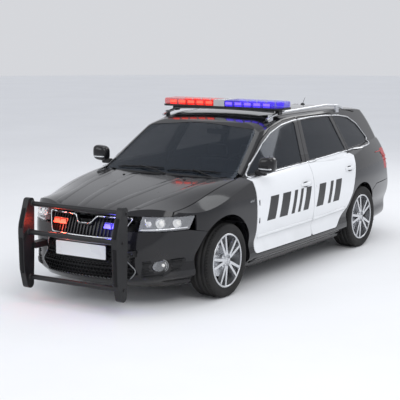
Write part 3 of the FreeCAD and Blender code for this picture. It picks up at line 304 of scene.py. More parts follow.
# a finish together with the record's slot that it stands for
PLASTIC = black_plastic, "black_plastic"
PAINTED = body_black, "body_black"
COATED = coated, "coated_steel"
WHITE = handle_white, "door_white"
TRIM = dark_grain, "black_plastic"


# ------------------------------------------------------------------ building pieces
def finish_piece(obj, body, mat, slot=None):
    if isinstance(obj.data, (bpy.types.Mesh, bpy.types.Curve)) and mat:
        obj.data.materials.clear()
        for m in (mat if isinstance(mat, (list, tuple)) else [mat]):
            obj.data.materials.append(m)
    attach(obj, body)
    return obj


def from_bmesh(name, bm, smooth=True):
    mesh = bpy.data.meshes.new(name)
    bmesh.ops.recalc_face_normals(bm, faces=bm.faces)
    bm.to_mesh(mesh)
    bm.free()
    if smooth:
        for face in mesh.polygons:
            face.use_smooth = True
    obj = bpy.data.objects.new(name, mesh)
    bpy.context.scene.collection.objects.link(obj)
    return obj


def modifier(obj, kind, **settings):
    made = obj.modifiers.new(kind.lower(), kind)
    for key, value in settings.items():
        setattr(made, key, value)
    return made


def bevelled(obj, width, segments=2, angle=35):
    modifier(obj, "BEVEL", width=width, segments=segments, limit_method="ANGLE",
             angle_limit=math.radians(angle), harden_normals=True)
    return obj


def block(bm, low, high):
    """Adds a box between two corners and returns its vertices."""
    low, high = Vector(low), Vector(high)
    made = bmesh.ops.create_cube(bm, size=1.0)["verts"]
    for v in made:
        v.co = Vector([low[i] + (v.co[i] + 0.5) * (high[i] - low[i]) for i in range(3)])
    return made


def cylinder(bm, start, end, r1, r2=None, segments=24):
    start, end = Vector(start), Vector(end)
    axis = end - start
    made = bmesh.ops.create_cone(bm, cap_ends=True, segments=segments, radius1=r1,
                                 radius2=r1 if r2 is None else r2, depth=axis.length)["verts"]
    turn = axis.to_track_quat("Z", "Y").to_matrix().to_4x4()
    bmesh.ops.transform(bm, matrix=Matrix.Translation((start + end) / 2) @ turn, verts=made)
    return made


def extruded(bm, loop, direction):
    """Adds a closed polygon of points, pushed along a direction."""
    base = [bm.verts.new(p) for p in loop]
    top = [bm.verts.new(Vector(p) + Vector(direction)) for p in loop]
    bm.faces.new(base)
    bm.faces.new(top[::-1])
    for i in range(len(loop)):
        j = (i + 1) % len(loop)
        bm.faces.new((base[i], top[i], top[j], base[j]))
    return base + top


def skin(bm, rings, closed=False, caps=False, open_rings=False):
    """Faces between rings of vertices, with the first and last rings joined or capped."""
    n = len(rings[0])
    for a, b in list(zip(rings, rings[1:])) + ([(rings[-1], rings[0])] if closed else []):
        for i in range(n - 1 if open_rings else n):
            j = (i + 1) % n
            bm.faces.new((a[i], a[j], b[j], b[i]))
    if caps:
        bm.faces.new(rings[0])
        bm.faces.new(rings[-1][::-1])


def lathe(bm, profile, centre, axis="Y", segments=48, closed=False):
    """Turns a profile of (radius, offset) about an axis through a centre."""
    rings = []
    for radius, offset in profile:
        ring = []
        for i in range(segments):
            a = 2 * math.pi * i / segments
            c, s = radius * math.cos(a), radius * math.sin(a)
            local = {"X": (offset, c, s), "Y": (c, offset, s), "Z": (c, s, offset)}[axis]
            ring.append(bm.verts.new(Vector(centre) + Vector(local)))
        rings.append(ring)
    skin(bm, rings, closed)


def turned(name, profile, centre, axis, segments, body, mat, slot=None):
    """One piece that is a profile turned about an axis."""
    bm = bmesh.new()
    lathe(bm, profile, centre, axis, segments)
    return finish_piece(from_bmesh(name, bm), body, mat, slot)


def plated(name, loop, direction, bevel, segments, body, mat, slot=None, turn=None):
    """One piece that is an outline pushed along a direction, with its edges rounded."""
    bm = bmesh.new()
    extruded(bm, loop, direction)
    if turn:
        bmesh.ops.transform(bm, matrix=turn, verts=bm.verts)
    obj = from_bmesh(name, bm, False)
    bevelled(obj, bevel, segments)
    return finish_piece(obj, body, mat, slot)


def tube(name, points, radius, body, mat, slot=None, cyclic=False, kind="POLY"):
    """A round tube along points."""
    curve = bpy.data.curves.new(name, "CURVE")
    curve.dimensions = "3D"
    spline = curve.splines.new(kind)
    spline.points.add(len(points) - 1)
    for p, co in zip(spline.points, points):
        p.co = (*co, 1.0)
    if kind == "NURBS":
        spline.order_u = 3
        spline.use_endpoint_u = True
    spline.use_cyclic_u = cyclic
    curve.bevel_depth = radius
    curve.bevel_resolution = 3
    curve.resolution_u = 6
    curve.use_fill_caps = True
    obj = bpy.data.objects.new(name, curve)
    bpy.context.scene.collection.objects.link(obj)
    return finish_piece(obj, body, mat, slot)


def surface_of(*names):
    """The shown surface of some CAD nodes, for setting pieces on them."""
    bm = bmesh.new()
    for name in names:
        bm.from_mesh(nodes[name].data)
    tree = BVHTree.FromBMesh(bm)
    bm.free()
    return tree


def drop(tree, origin, direction, spread=0.011):
    """Where a ray meets the surface and the normal there, facing the ray. The rays beside
    it carry it over a gap: it stays near the middle one of their depths."""
    origin, direction = Vector(origin), Vector(direction).normalized()
    across = direction.orthogonal().normalized()
    steps = [across * 0, across * spread, across * -spread]
    steps += [direction.cross(across) * spread, direction.cross(across) * -spread]
    hits = []
    for step in steps:
        place, normal, _, depth = tree.ray_cast(origin + step, direction)
        if place is not None:
            hits.append((depth, -normal if normal.dot(direction) > 0 else normal))
    if not hits:
        place, normal, _, _ = tree.find_nearest(origin)
        return place, normal
    own = hits[0][0]
    hits.sort(key=lambda hit: hit[0])
    shallow = hits[min(1, len(hits) - 1)]
    depth = own if abs(own - shallow[0]) < 0.012 else shallow[0]
    return origin + direction * depth, shallow[1]


def ray_for(view, u, v):
    """Where a ray starts and goes for a view from the left, right, front, rear or top."""
    return {"left": ((u, 3.0, v), (0, -1, 0)), "right": ((u, -3.0, v), (0, 1, 0)),
            "front": ((4.0, u, v), (-1, 0, 0)), "rear": ((-4.0, u, v), (1, 0, 0)),
            "top": ((u, v, 4.0), (0, 0, -1))}[view]


def land(tree, view, u, v):
    """Where a surface is met from a view, and its normal there."""
    return drop(tree, *ray_for(view, u, v))


def circle(steps):
    """Angles at even steps round a circle."""
    return [2 * math.pi * k / steps for k in range(steps)]


def resampled(points, step, closed=False):
    """Points along a line at an even step."""
    out = []
    pairs = list(zip(points, points[1:] + points[:1])) if closed else list(zip(points, points[1:]))
    for a, b in pairs:
        a, b = Vector(a), Vector(b)
        count = max(1, round((b - a).length / step))
        out += [a.lerp(b, i / count) for i in range(count)]
    if not closed:
        out.append(Vector(points[-1]))
    return out


def strip_on(name, tree, view, points, width, proud, body, mat, slot=None, closed=False,
             step=0.03, sink=0.002):
    """A flat raised strip of even width that follows a surface."""
    flat = [Vector((p[0], p[1])) for p in resampled([(*p, 0) for p in points], step, closed)]
    n = len(flat)
    bm = bmesh.new()
    rings = []
    for i, p in enumerate(flat):
        before = flat[i - 1] if (i or closed) else p
        after = flat[(i + 1) % n] if (i < n - 1 or closed) else p
        along = (after - before).normalized()
        side = Vector((-along.y, along.x))
        ring = []
        for k, lift in ((-0.5, -sink), (-0.38, proud), (0.38, proud), (0.5, -sink)):
            q = p + side * (width * k)
            place, normal = land(tree, view, q.x, q.y)
            ring.append(bm.verts.new(place + normal * lift))
        rings.append(ring)
    skin(bm, rings, closed, not closed)
    return finish_piece(from_bmesh(name, bm), body, mat, slot)


def patch_on(name, tree, view, loop, proud, body, mat, slot=None, step=0.05, sink=0.001):
    """A thin plate with a given outline that follows a surface."""
    bm = bmesh.new()
    bm.faces.new([bm.verts.new((p[0], p[1], 0)) for p in loop])
    for k in (0, 1):
        lo, hi = min(p[k] for p in loop), max(p[k] for p in loop)
        at = lo + step
        while at < hi - step * 0.3:
            normal = (1, 0, 0) if k == 0 else (0, 1, 0)
            bmesh.ops.bisect_plane(bm, geom=bm.verts[:] + bm.edges[:] + bm.faces[:],
                                   plane_co=(at, at, 0), plane_no=normal)
            at += step
    normals = {}
    for v in bm.verts:
        place, normal = land(tree, view, v.co.x, v.co.y)
        v.co = place
        normals[v] = normal
    made = bmesh.ops.extrude_face_region(bm, geom=bm.faces[:])
    lifted = [g for g in made["geom"] if isinstance(g, bmesh.types.BMVert)]
    for v in lifted:
        base = min(normals, key=lambda b: (b.co - v.co).length_squared)
        v.co = v.co + normals[base] * proud
    for v, normal in normals.items():
        v.co = v.co - normal * sink
    return finish_piece(from_bmesh(name, bm, smooth=False), body, mat, slot)


def rounded(corners, radius, place, segments=5):
    """A closed outline with rounded corners, each point put through place(u, v)."""
    out = []
    n = len(corners)
    for i, corner in enumerate(corners):
        here = Vector(corner)
        back = (Vector(corners[i - 1]) - here)
        ahead = (Vector(corners[(i + 1) % n]) - here)
        cut = min(radius, back.length * 0.45, ahead.length * 0.45)
        p, q = here + back.normalized() * cut, here + ahead.normalized() * cut
        for k in range(segments + 1):
            t = k / segments
            bent = p.lerp(here, t).lerp(here.lerp(q, t), t)
            out.append(place(bent.x, bent.y))
    return out


def boxed(name, boxes, bevel, body, mat, slot=None, segments=2):
    """One piece of several boxes with their edges rounded."""
    bm = bmesh.new()
    for low, high in boxes:
        block(bm, low, high)
    obj = from_bmesh(name, bm, False)
    bevelled(obj, bevel, segments)
    return finish_piece(obj, body, mat, slot)


# ------------------------------------------------------------------ finishes of the CAD nodes
door_white = door_paint()
FINISHES = {
    body_black: ("body_shell", "front_fenders", "front_bumper", "rear_bumper", "hood", "tailgate",
                 "mirror_left", "mirror_right"),
    door_white: ("front_door_left", "front_door_right", "rear_door_left", "rear_door_right"),
    gloss_plastic: ("upper_grille",),
    black_plastic: ("lower_grille",),
    bar_base(): ("light_bar_base",),
    lamp_glass_painted_sheen: ("front_lamps",),
    tail_red: ("tail_lamps", "tailgate_lamps"),
    screen: ("windscreen",),
    window: ("quarter_glass", "tailgate_glass", "front_glass_left", "front_glass_right",
             "rear_glass_left", "rear_glass_right"),
    satin_silver: ("roof_rails",),
    blue_glass: ("light_bar_blue",),
    red_glass: ("light_bar_red",),
    strobe_red: ("strobes_red",),
    strobe_blue: ("strobes_blue",),
    coated: ("push_bumper",),
    chassis: ("front_subframe", "rear_axle"),
    pipe_steel: ("exhaust",),
    cast: ("engine_block",),
    dark_grain: ("dashboard",),
    seat_side: ("steering_wheel",),
    iron: ("knuckle_left", "knuckle_right"),
}
for finish, names in FINISHES.items():
    for name in names:
        slots = nodes[name].data.materials
        slots.clear()
        slots.append(finish)
WHEELS = [("front", "left", FRONT_X, 0.7745), ("front", "right", FRONT_X, -0.7745),
          ("rear", "left", REAR_X, 0.770), ("rear", "right", REAR_X, -0.770)]
for end, hand, _, _ in WHEELS:
    rim_slots = nodes["rim_%s_%s" % (end, hand)].data.materials
    rim_slots.clear()
    rim_slots.append(alloy)

side_surface = {hand: surface_of("front_door_" + hand, "rear_door_" + hand, "body_shell",
                                 "front_fenders") for hand in ("left", "right")}
nose_surface = surface_of("front_bumper", "upper_grille", "lower_grille", "hood")
SIDES = (("left", 1), ("right", -1))


# ------------------------------------------------------------------ wheels
TYRE_R, RIM_R, HALF_W = 0.318, 0.232, 0.1125


def tyre_piece(name, x, y, body):
    """A tyre with rounded shoulders, grooves round the tread and sipes across it."""
    profile = [(RIM_R + 0.001, -0.100), (RIM_R + 0.007, -0.1045), (RIM_R + 0.012, -0.1035),
               (RIM_R + 0.030, -0.1105), (RIM_R + 0.048, -0.1125), (TYRE_R - 0.022, -0.109),
               (TYRE_R - 0.009, -0.101), (TYRE_R - 0.0022, -0.088)]
    grooves = (-0.066, -0.026, 0.026, 0.066)
    for g in grooves:
        profile += [(TYRE_R - 0.0004 - 0.0012 * abs(g) / 0.08, g - 0.0052),
                    (TYRE_R - 0.0085, g - 0.004), (TYRE_R - 0.0085, g + 0.004),
                    (TYRE_R - 0.0004 - 0.0012 * abs(g) / 0.08, g + 0.0052)]
    profile += [(r, -o) for r, o in profile[7::-1]]
    bm = bmesh.new()
    lathe(bm, profile, (x, y, WHEEL_Z), segments=144)
    tyre = from_bmesh(name, bm)
    cut = bmesh.new()
    for i in range(72):
        a = 2 * math.pi * i / 72
        for lo, hi in ((-0.106, -0.073), (0.073, 0.106)):
            made = block(cut, (-0.0016, lo, TYRE_R - 0.007), (0.0016, hi, TYRE_R + 0.004))
            turn = Matrix.Translation((x, y, WHEEL_Z)) @ Matrix.Rotation(a, 4, "Y")
            bmesh.ops.transform(cut, matrix=turn, verts=made)
    return finish_piece(tyre, body, tyre_rubber), cut


def tyre_finish():
    """Rubber, dull on the tread with a browner bloom, and fine rings moulded on the wall."""
    s = Shader("tyre_rubber", (0.011, 0.011, 0.012), 0.75, Specular_IOR_Level=0.2)
    drift = s.noise(5.0)
    s.color(s.mix(s.spread(drift, 0.0, 1.0), (0.013, 0.013, 0.0135), (0.032, 0.031, 0.03)))
    s.rough(s.spread(drift, 0.6, 0.8))
    s.bump(s.noise(320.0, 3.0), 0.001, 0.35)
    return s.mat


tyre_rubber = tyre_finish()


# radius and distance outwards from the hub's face
WHEEL_FACE = 0.082
CAP = [(0.0, 0.0085), (0.02, 0.0082), (0.0275, 0.006), (0.031, 0.001), (0.031, -0.004)]
CAP_RING = [(0.034, -0.003), (0.037, 0.0025), (0.0405, 0.0025), (0.0435, -0.003)]
RIM_EDGE = [(0.2165, -0.001), (0.2165, 0.003), (0.225, 0.0045), (0.2315, 0.003), (0.2335, -0.001)]


def wheel_dress(end, hand, x, y):
    """Bolts, a centre cap, a valve, the rim's edge ring and the tyre with its sipes."""
    body = "wheel_%s_%s" % (end, hand)
    out = 1 if y > 0 else -1
    face = y + out * WHEEL_FACE

    def at(radius, angle, depth):
        return (x + radius * math.cos(angle), face + out * depth,
                WHEEL_Z + radius * math.sin(angle))

    bm = bmesh.new()
    for i in range(5):
        angle = math.radians(90 + 72 * i)
        cylinder(bm, at(0.052, angle, -0.004), at(0.052, angle, 0.004), 0.0105, segments=6)
        cylinder(bm, at(0.052, angle, 0.002), at(0.052, angle, 0.0075), 0.0085, 0.0065, 6)
    bolts = finish_piece(from_bmesh("wheel_bolts_%s_%s" % (end, hand), bm, False), body, steel,
                         "alloy")
    bevelled(bolts, 0.0008, 1)
    for tag, profile, depth, segments, mat in (
            ("wheel_cap", CAP, 0.0, 40, satin_silver), ("wheel_cap_ring", CAP_RING, 0.0, 40, alloy),
            ("rim_edge", RIM_EDGE, HALF_W - 0.012 - WHEEL_FACE, 96, alloy)):
        turned("%s_%s_%s" % (tag, end, hand), [(r, out * d) for r, d in profile],
               (x, face + out * depth, WHEEL_Z), "Y", segments, body, mat, "alloy")
    bm = bmesh.new()
    cylinder(bm, at(0.205, math.radians(54), 0.0), at(0.19, math.radians(54), 0.022), 0.0042,
             0.0034, 12)
    finish_piece(from_bmesh("tyre_valve_%s_%s" % (end, hand), bm), body, rubber, "tyre_rubber")
    name = "tyre_dressed_%s_%s" % (end, hand)
    tyre, sipes = tyre_piece(name, x, y, body)
    cutter = from_bmesh("sipes_" + name, sipes, False)
    modifier(tyre, "BOOLEAN", operation="DIFFERENCE", solver="EXACT", object=cutter)
    depsgraph = bpy.context.evaluated_depsgraph_get()
    made = bpy.data.meshes.new_from_object(tyre.evaluated_get(depsgraph))
    tyre.modifiers.clear()
    tyre.data = made
    bpy.data.objects.remove(cutter)
    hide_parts("tyre_%s_%s" % (end, hand))


for wheel in WHEELS:
    wheel_dress(*wheel)

# ------------------------------------------------------------------ side windows' chrome and covers
# distance behind the front axle and height of the bright line round the side windows
LINE_TOP = [(0.477, 0.972), (0.602, 1.065), (0.900, 1.226), (1.099, 1.310), (1.337, 1.363),
            (1.600, 1.387), (1.990, 1.394), (2.320, 1.386), (2.656, 1.365), (2.874, 1.335),
            (3.052, 1.254), (3.153, 1.139), (3.201, 1.092)]
LINE_LOW = [(0.477, 0.972), (1.0, 0.992), (1.541, 1.000), (2.0, 1.008), (2.599, 1.018),
            (2.839, 1.022), (3.109, 1.036), (3.201, 1.092)]
B_GAP = [(1.545, 0.985), (1.694, 1.407)]
C_GAP = [(2.556, 0.990), (2.478, 1.397)]


def side_of(line, p):
    """Whether a point is behind a leaning gap."""
    (d0, z0), (d1, z1) = line
    return (p[0] - d0) * (z1 - z0) - (p[1] - z0) * (d1 - d0)


def split_line(points, gap, half=0.0055):
    """A line cut where it crosses a leaning gap, each end held back from it."""
    fine = [Vector((p[0], p[1], 0)) for p in resampled([(*p, 0) for p in points], 0.004)]
    ahead = [p for p in fine if side_of(gap, p) < -half * 0.4]
    behind = [p for p in fine if side_of(gap, p) > half * 0.4]
    return thin_out(ahead), thin_out(behind)


def thin_out(points, keep=6):
    return [(p[0], p[1]) for i, p in enumerate(points)
            if i % keep == 0 or i == len(points) - 1]


for hand, sign in SIDES:
    tree = side_surface[hand]
    front_body, rear_body = "front_door_" + hand, "rear_door_" + hand
    for tag, line in (("top", LINE_TOP), ("low", LINE_LOW)):
        front, rest = split_line(line, B_GAP)
        middle, last = split_line([(p[0], p[1]) for p in rest], C_GAP)
        for part, points, body in (("front", front, front_body), ("rear", middle, rear_body),
                                   ("quarter", last, CAR)):
            strip_on("window_line_%s_%s_%s" % (tag, part, hand), tree, hand,
                     [(aft(d), z) for d, z in points], 0.012, 0.003, body, satin_silver)

# ------------------------------------------------------------------ doors and mirrors
# slanted plain blocks where a word was: middle behind the front axle, width
BLOCKS = [(0.71, 0.15), (0.935, 0.15), (1.115, 0.06), (1.235, 0.05), (1.37, 0.10),
          (1.66, 0.14), (1.865, 0.06), (2.02, 0.13)]
BLOCK_LOW, BLOCK_HIGH, BLOCK_LEAN = 0.570, 0.783, 0.070
HANDLES = (("front", 1.375, 0.815), ("rear", 2.36, 0.862))
DOOR_LOW_LINE = [(0.50, 0.446), (1.532, 0.452)], [(1.556, 0.452), (2.26, 0.468)]
# the mirror shell's middle, its half width and height, and how square its bulge is
MIRROR_Y, MIRROR_REACH, MIRROR_SQUARE = 0.9200, (0.0800, 0.073), 3.2

for hand, sign in SIDES:
    tree = side_surface[hand]
    for i, (middle, width) in enumerate(BLOCKS):
        door = "front" if middle < 1.545 else "rear"
        d0, d1 = middle - width / 2, middle + width / 2
        loop = [(aft(d0), BLOCK_LOW), (aft(d1), BLOCK_LOW),
                (aft(d1 + BLOCK_LEAN), BLOCK_HIGH), (aft(d0 + BLOCK_LEAN), BLOCK_HIGH)]
        patch_on("block_%d_%s" % (i, hand), tree, hand, loop, 0.0010, door + "_door_" + hand,
                 vinyl, step=0.018, sink=0.0006)
    for door, d, z in HANDLES:
        body = door + "_door_" + hand
        place, normal = land(tree, hand, aft(d), z)
        cup = [(aft(d) + 0.062 * math.cos(a), z - 0.004 + 0.027 * math.sin(a))
               for a in circle(28)]
        patch_on("handle_cup_%s_%s" % (door, hand), tree, hand, cup, 0.0012, body, *TRIM, step=0.04)
        bm = bmesh.new()
        rings = []
        for k in range(17):
            t = k / 16
            along = (t - 0.5) * 0.205
            off = 0.010 + 0.024 * math.sin(math.pi * t) ** 0.5
            tall = 0.012 + 0.006 * math.sin(math.pi * t)
            thick = 0.0065
            centre = place + Vector((-along, sign * (off - 0.006), 0.004 + along * 0.03))
            rings.append([bm.verts.new(centre + Vector((0, sign * thick * math.cos(a),
                                                        tall * math.sin(a))))
                          for a in circle(14)])
        skin(bm, rings, caps=True)
        finish_piece(from_bmesh("door_handle_%s_%s" % (door, hand), bm), body, *WHITE)
    for door, line in zip(("front", "rear"), DOOR_LOW_LINE):
        strip_on("door_moulding_%s_%s" % (door, hand), tree, hand,
                 [(aft(d), z) for d, z in line], 0.034, 0.009, door + "_door_" + hand,
                 *WHITE)
    # the mirror's smooth shell and foot, its bright lower strip and its glass
    low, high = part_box("mirror_" + hand)
    body = "front_door_" + hand
    middle = Vector((0.5 * (low.x + high.x), sign * MIRROR_Y, 0.5 * (low.z + high.z) + 0.014))
    reach = Vector((0.5 * (high.x - low.x) - 0.001, *MIRROR_REACH))
    bm = bmesh.new()
    bmesh.ops.create_uvsphere(bm, u_segments=48, v_segments=28, radius=1.0)
    for v in bm.verts:
        p = v.co.copy()
        shape = Vector([math.copysign(abs(c) ** (2.0 / MIRROR_SQUARE), c) for c in p])
        shape *= 1.0 / max(0.75, sum(abs(c) ** MIRROR_SQUARE for c in shape)
                           ** (1 / MIRROR_SQUARE))
        shape.x = max(shape.x, -0.62 - 0.06 * abs(shape.z))
        v.co = middle + Vector((shape.x * reach.x, sign * shape.y * reach.y,
                                shape.z * reach.z + 0.008 * shape.y))
    shell = finish_piece(from_bmesh("mirror_shell_" + hand, bm), body, *PAINTED)
    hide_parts("mirror_" + hand)
    bm = bmesh.new()
    bm.from_mesh(shell.data)
    mirror_tree = BVHTree.FromBMesh(bm)
    bm.free()
    inner, outer = sorted((sign * 0.800, sign * 0.905))
    boxed("mirror_foot_" + hand, [((middle.x - 0.030, inner, low.z + 0.004),
                                   (middle.x + 0.022, outer, low.z + 0.050))],
          0.012, body, *PLASTIC, 3)
    rim = []
    for k in range(17):
        y = middle.y + sign * reach.y * (-0.80 + 1.60 * k / 16)
        hit, normal = drop(mirror_tree, (high.x + 0.3, y, middle.z - 0.032), (-1, 0, 0))
        rim.append(hit - normal * 0.004)
    tube("mirror_strip_" + hand, rim, 0.0075, body, satin_silver, "body_black")
    face = drop(mirror_tree, (low.x - 0.3, middle.y, middle.z), (1, 0, 0))[0]
    y0, y1, z0, z1 = (middle.y - 0.052, middle.y + 0.052, middle.z - 0.040, middle.z + 0.042)
    bm = bmesh.new()
    extruded(bm, rounded([(y0, z0), (y1, z0), (y1, z1), (y0, z1)], 0.028,
                         lambda u, v: (face.x - 0.0015, u, v)), (0.006, 0, 0))
    finish_piece(from_bmesh("mirror_glass_" + hand, bm, False), body, mirror_finish)

# ------------------------------------------------------------------ grille, intake, front plate
TOP_GRILLE = [(-0.350, 0.580), (0.350, 0.580), (0.436, 0.748), (0.108, 0.748), (0.058, 0.688),
              (-0.058, 0.688), (-0.108, 0.748), (-0.436, 0.748)]
INTAKE = [(-0.430, 0.240), (0.430, 0.240), (0.500, 0.322), (0.408, 0.425), (0.400, 0.538),
          (-0.400, 0.538), (-0.408, 0.425), (-0.500, 0.322)]


def inset_loop(loop, amount):
    """A closed outline moved inwards, for one that runs anticlockwise."""
    out = []
    n = len(loop)
    for i in range(n):
        a, b, c = (Vector(loop[k % n]) for k in (i - 1, i, i + 1))
        u, v = (b - a).normalized(), (c - b).normalized()
        nu, nv = Vector((-u.y, u.x)), Vector((-v.y, v.x))
        bis = (nu + nv).normalized()
        out.append(tuple(b + bis * (amount / max(0.35, bis.dot(nu)))))
    return out


flat = lambda u, v: (u, v)
strip_on("grille_chrome", nose_surface, "front",
         rounded(inset_loop(TOP_GRILLE, 0.0035), 0.02, flat), 0.0095, 0.0045, CAR, chrome,
         closed=True, step=0.015)
strip_on("intake_frame", nose_surface, "front",
         rounded(inset_loop(INTAKE, 0.005), 0.035, flat), 0.010, 0.003, CAR, satin_grey,
         "black_plastic", closed=True, step=0.02)


def inside(loop, u, v):
    hit = False
    for (u0, v0), (u1, v1) in zip(loop, loop[1:] + loop[:1]):
        if (v0 > v) != (v1 > v) and u < (u1 - u0) * (v - v0) / (v1 - v0) + u0:
            hit = not hit
    return hit


def honeycomb(name, loop, cell, depth, wall, body, mat, slot):
    """Hexagonal cells across an opening, each a short tube bowed with the nose."""
    bm = bmesh.new()
    row_step, column_step = cell * math.sqrt(3) / 2, cell
    v, row = min(p[1] for p in loop), 0
    while v < max(p[1] for p in loop):
        u = min(p[0] for p in loop) + (column_step / 2 if row % 2 else 0)
        while u < max(p[0] for p in loop):
            if inside(loop, u, v):
                back = bow(u, v)
                rings = []
                for radius, x in ((1.0, 0.0), (1.0, depth), (1 - wall, depth), (1 - wall, 0.0)):
                    r = radius * cell / math.sqrt(3)
                    rings.append([bm.verts.new((back + x, u + r * math.cos(a), v + r * math.sin(a)))
                                  for a in [math.radians(30 + 60 * k) for k in range(6)]])
                skin(bm, rings, closed=True)
            u += column_step
        v += row_step
        row += 1
    return finish_piece(from_bmesh(name, bm, False), body, mat, slot)


grille_depth = {}


def bow(u, v):
    """X just behind the intake's face, from the bumper's surface round the opening."""
    edge = 0.500 if v < 0.36 else 0.43
    key = round(v, 2)
    if key not in grille_depth:
        side, _ = land(front_skin, "front", edge + 0.03, v)
        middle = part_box("lower_grille")[1].x
        grille_depth[key] = (middle, side.x, edge + 0.03)
    middle, side, reach = grille_depth[key]
    return middle - 0.014 - (middle - side) * (u / reach) ** 2


front_skin = surface_of("front_bumper")
honeycomb("intake_honeycomb", inset_loop(INTAKE, 0.02), 0.034, 0.010, 0.16, CAR, *PLASTIC)

PLATE_HALF, PLATE_LOW, PLATE_HIGH = 0.26, 0.408, 0.524


def plate(name, x, face, low, high, body):
    """A blank number plate in a thin frame, standing at X and facing along X."""
    for suffix, g, radius, back, thick, bevel, mat, slot in (
            ("", 0.0, 0.012, 0.0, 0.0015, (0.0005, 1), plate_white, None),
            ("_holder", 0.006, 0.014, 0.012, 0.0118, (0.002, 2), *PLASTIC)):
        half, z0, z1 = PLATE_HALF + g, low - g, high + g
        loop = rounded([(-half, z0), (half, z0), (half, z1), (-half, z1)], radius,
                       lambda u, v: (x - face * back, u, v))
        plated(name + suffix, loop, (face * thick, 0, 0), *bevel, body, mat, slot)


plate("front_plate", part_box("front_bumper")[1].x + 0.008, 1, PLATE_LOW, PLATE_HIGH, CAR)

# ------------------------------------------------------------------ head lamps and fog lamps
lamp_tree = surface_of("front_lamps")
FOG_Y, FOG_Z = 0.640, 0.358


def ring_lamp(name, centre, direction, radius, body, bowl, inner, depth=0.035):
    """A bowl reflector with a lens or bulb in its middle, facing along a direction."""
    direction = Vector(direction).normalized()
    bm = bmesh.new()
    lathe(bm, [(radius, 0.0), (radius * 0.99, -0.004), (radius * 0.86, -depth * 0.55),
               (radius * 0.5, -depth * 0.95), (radius * 0.18, -depth), (0.0001, -depth)],
          (0, 0, 0), "X", 40)
    lathe(bm, [(radius, 0.0), (radius * 1.07, 0.001), (radius * 1.07, -0.006),
               (radius * 0.99, -0.004)], (0, 0, 0), "X", 40)
    turn = direction.to_track_quat("X", "Z").to_matrix().to_4x4()
    bmesh.ops.transform(bm, matrix=Matrix.Translation(centre) @ turn, verts=bm.verts)
    finish_piece(from_bmesh(name + "_bowl", bm), body, bowl)
    bm = bmesh.new()
    profile = [(radius * 0.42 * math.cos(a), -depth * 0.55 + radius * 0.3 * math.sin(a))
               for a in [math.pi / 2 * k / 7 for k in range(8)]]
    lathe(bm, [(radius * 0.42, -depth * 0.8)] + profile, (0, 0, 0), "X", 32)
    bmesh.ops.transform(bm, matrix=Matrix.Translation(centre) @ turn, verts=bm.verts)
    finish_piece(from_bmesh(name + "_lens", bm), body, inner)


for hand, sign in SIDES:
    bowls = [("main", 0.625, 0.704, 0.042), ("dip", 0.722, 0.703, 0.037),
             ("turn", 0.545, 0.700, 0.026)]
    for tag, y, z, radius in bowls:
        hit, normal = land(lamp_tree, "front", sign * y, z)
        centre = hit - Vector((0.022 if tag == "turn" else 0.028, 0, 0))
        ring_lamp("head_lamp_%s_%s" % (tag, hand), centre, (1, sign * 0.12, 0), radius, CAR,
                  reflector, lamp_core)
    # a bright blade along the foot and a fin at the inner end, just under the lens
    for tag, steps, inside_by, radius, spot in (
            ("blade", 14, 0.006, 0.0065, lambda t: (0.505 + 0.275 * t, 0.657 + 0.010 * t)),
            ("fin", 8, 0.008, 0.0055, lambda t: (0.520 + 0.055 * t * t, 0.742 - 0.06 * t))):
        line = []
        for k in range(steps + 1):
            y, z = spot(k / steps)
            hit, normal = land(lamp_tree, "front", sign * y, z)
            line.append(hit - normal * inside_by)
        tube("head_lamp_%s_%s" % (tag, hand), line, radius, CAR, chrome, "clear_lens")
    hit, normal = land(lamp_tree, "front", sign * FOG_Y, FOG_Z)
    ring_lamp("fog_lamp_" + hand, hit - Vector((0.006, 0, 0)), (1, sign * 0.25, 0), 0.036, CAR,
              reflector, lamp_core, 0.024)
    # the ribbed surround: a dark plate with level ribs round the fog lamp
    loop = rounded([(sign * 0.515, 0.262), (sign * 0.66, 0.275), (sign * 0.745, 0.345),
                    (sign * 0.755, 0.405), (sign * 0.545, 0.398), (sign * 0.53, 0.345)],
                   0.015, flat)
    patch_on("fog_panel_" + hand, front_skin, "front", loop, 0.002, CAR, *PLASTIC, step=0.03)
    for k, z in enumerate((0.275, 0.295, 0.315, 0.337, 0.380, 0.395)):
        beside = ((0.535, 0.588), (0.692, 0.735))
        across = ((0.535, 0.655 + 0.3 * (z - 0.275)),)
        for part, (y0, y1) in enumerate(beside if 0.31 < z < 0.40 else across):
            strip_on("fog_rib_%d_%d_%s" % (k, part, hand), front_skin, "front",
                     [(sign * y0, z), (sign * y1, z + 0.004)], 0.010, 0.009, CAR, *PLASTIC,
                     step=0.02)
    bm = bmesh.new()
    lathe(bm, [(0.047, -0.012), (0.047, 0.004), (0.051, 0.007), (0.055, 0.004), (0.055, -0.012)],
          (0, 0, 0), "X", 40)
    turn = Vector((1, sign * 0.62, 0)).to_track_quat("X", "Z").to_matrix().to_4x4()
    bmesh.ops.transform(bm, matrix=Matrix.Translation(hit + Vector((0.001, 0, 0))) @ turn,
                        verts=bm.verts)
    finish_piece(from_bmesh("fog_ring_" + hand, bm), CAR, satin_grey, "black_plastic")

# ------------------------------------------------------------------ light bar
BAR_X, BAR_HALF, BAR_DEPTH = aft(1.400), 0.668, 0.285
BAR_LOW, BAR_TOP, BAR_MID = 1.503, 1.580, 0.0603


def bar_plan(sign, y0, shrink):
    """Half of the light bar's outline from a distance off its middle, seen from above."""
    x0, x1 = BAR_X - BAR_DEPTH / 2 + shrink, BAR_X + BAR_DEPTH / 2 - shrink
    y1 = BAR_HALF - shrink
    outer = rounded([(x0, y0), (x1, y0), (x1, y1), (x0, y1)], 0.085, flat, 8)
    square = [(x0, y0), (x1, y0)] + [p for p in outer if p[1] > (y0 + y1) / 2]
    return [(x, sign * y) for x, y in square]


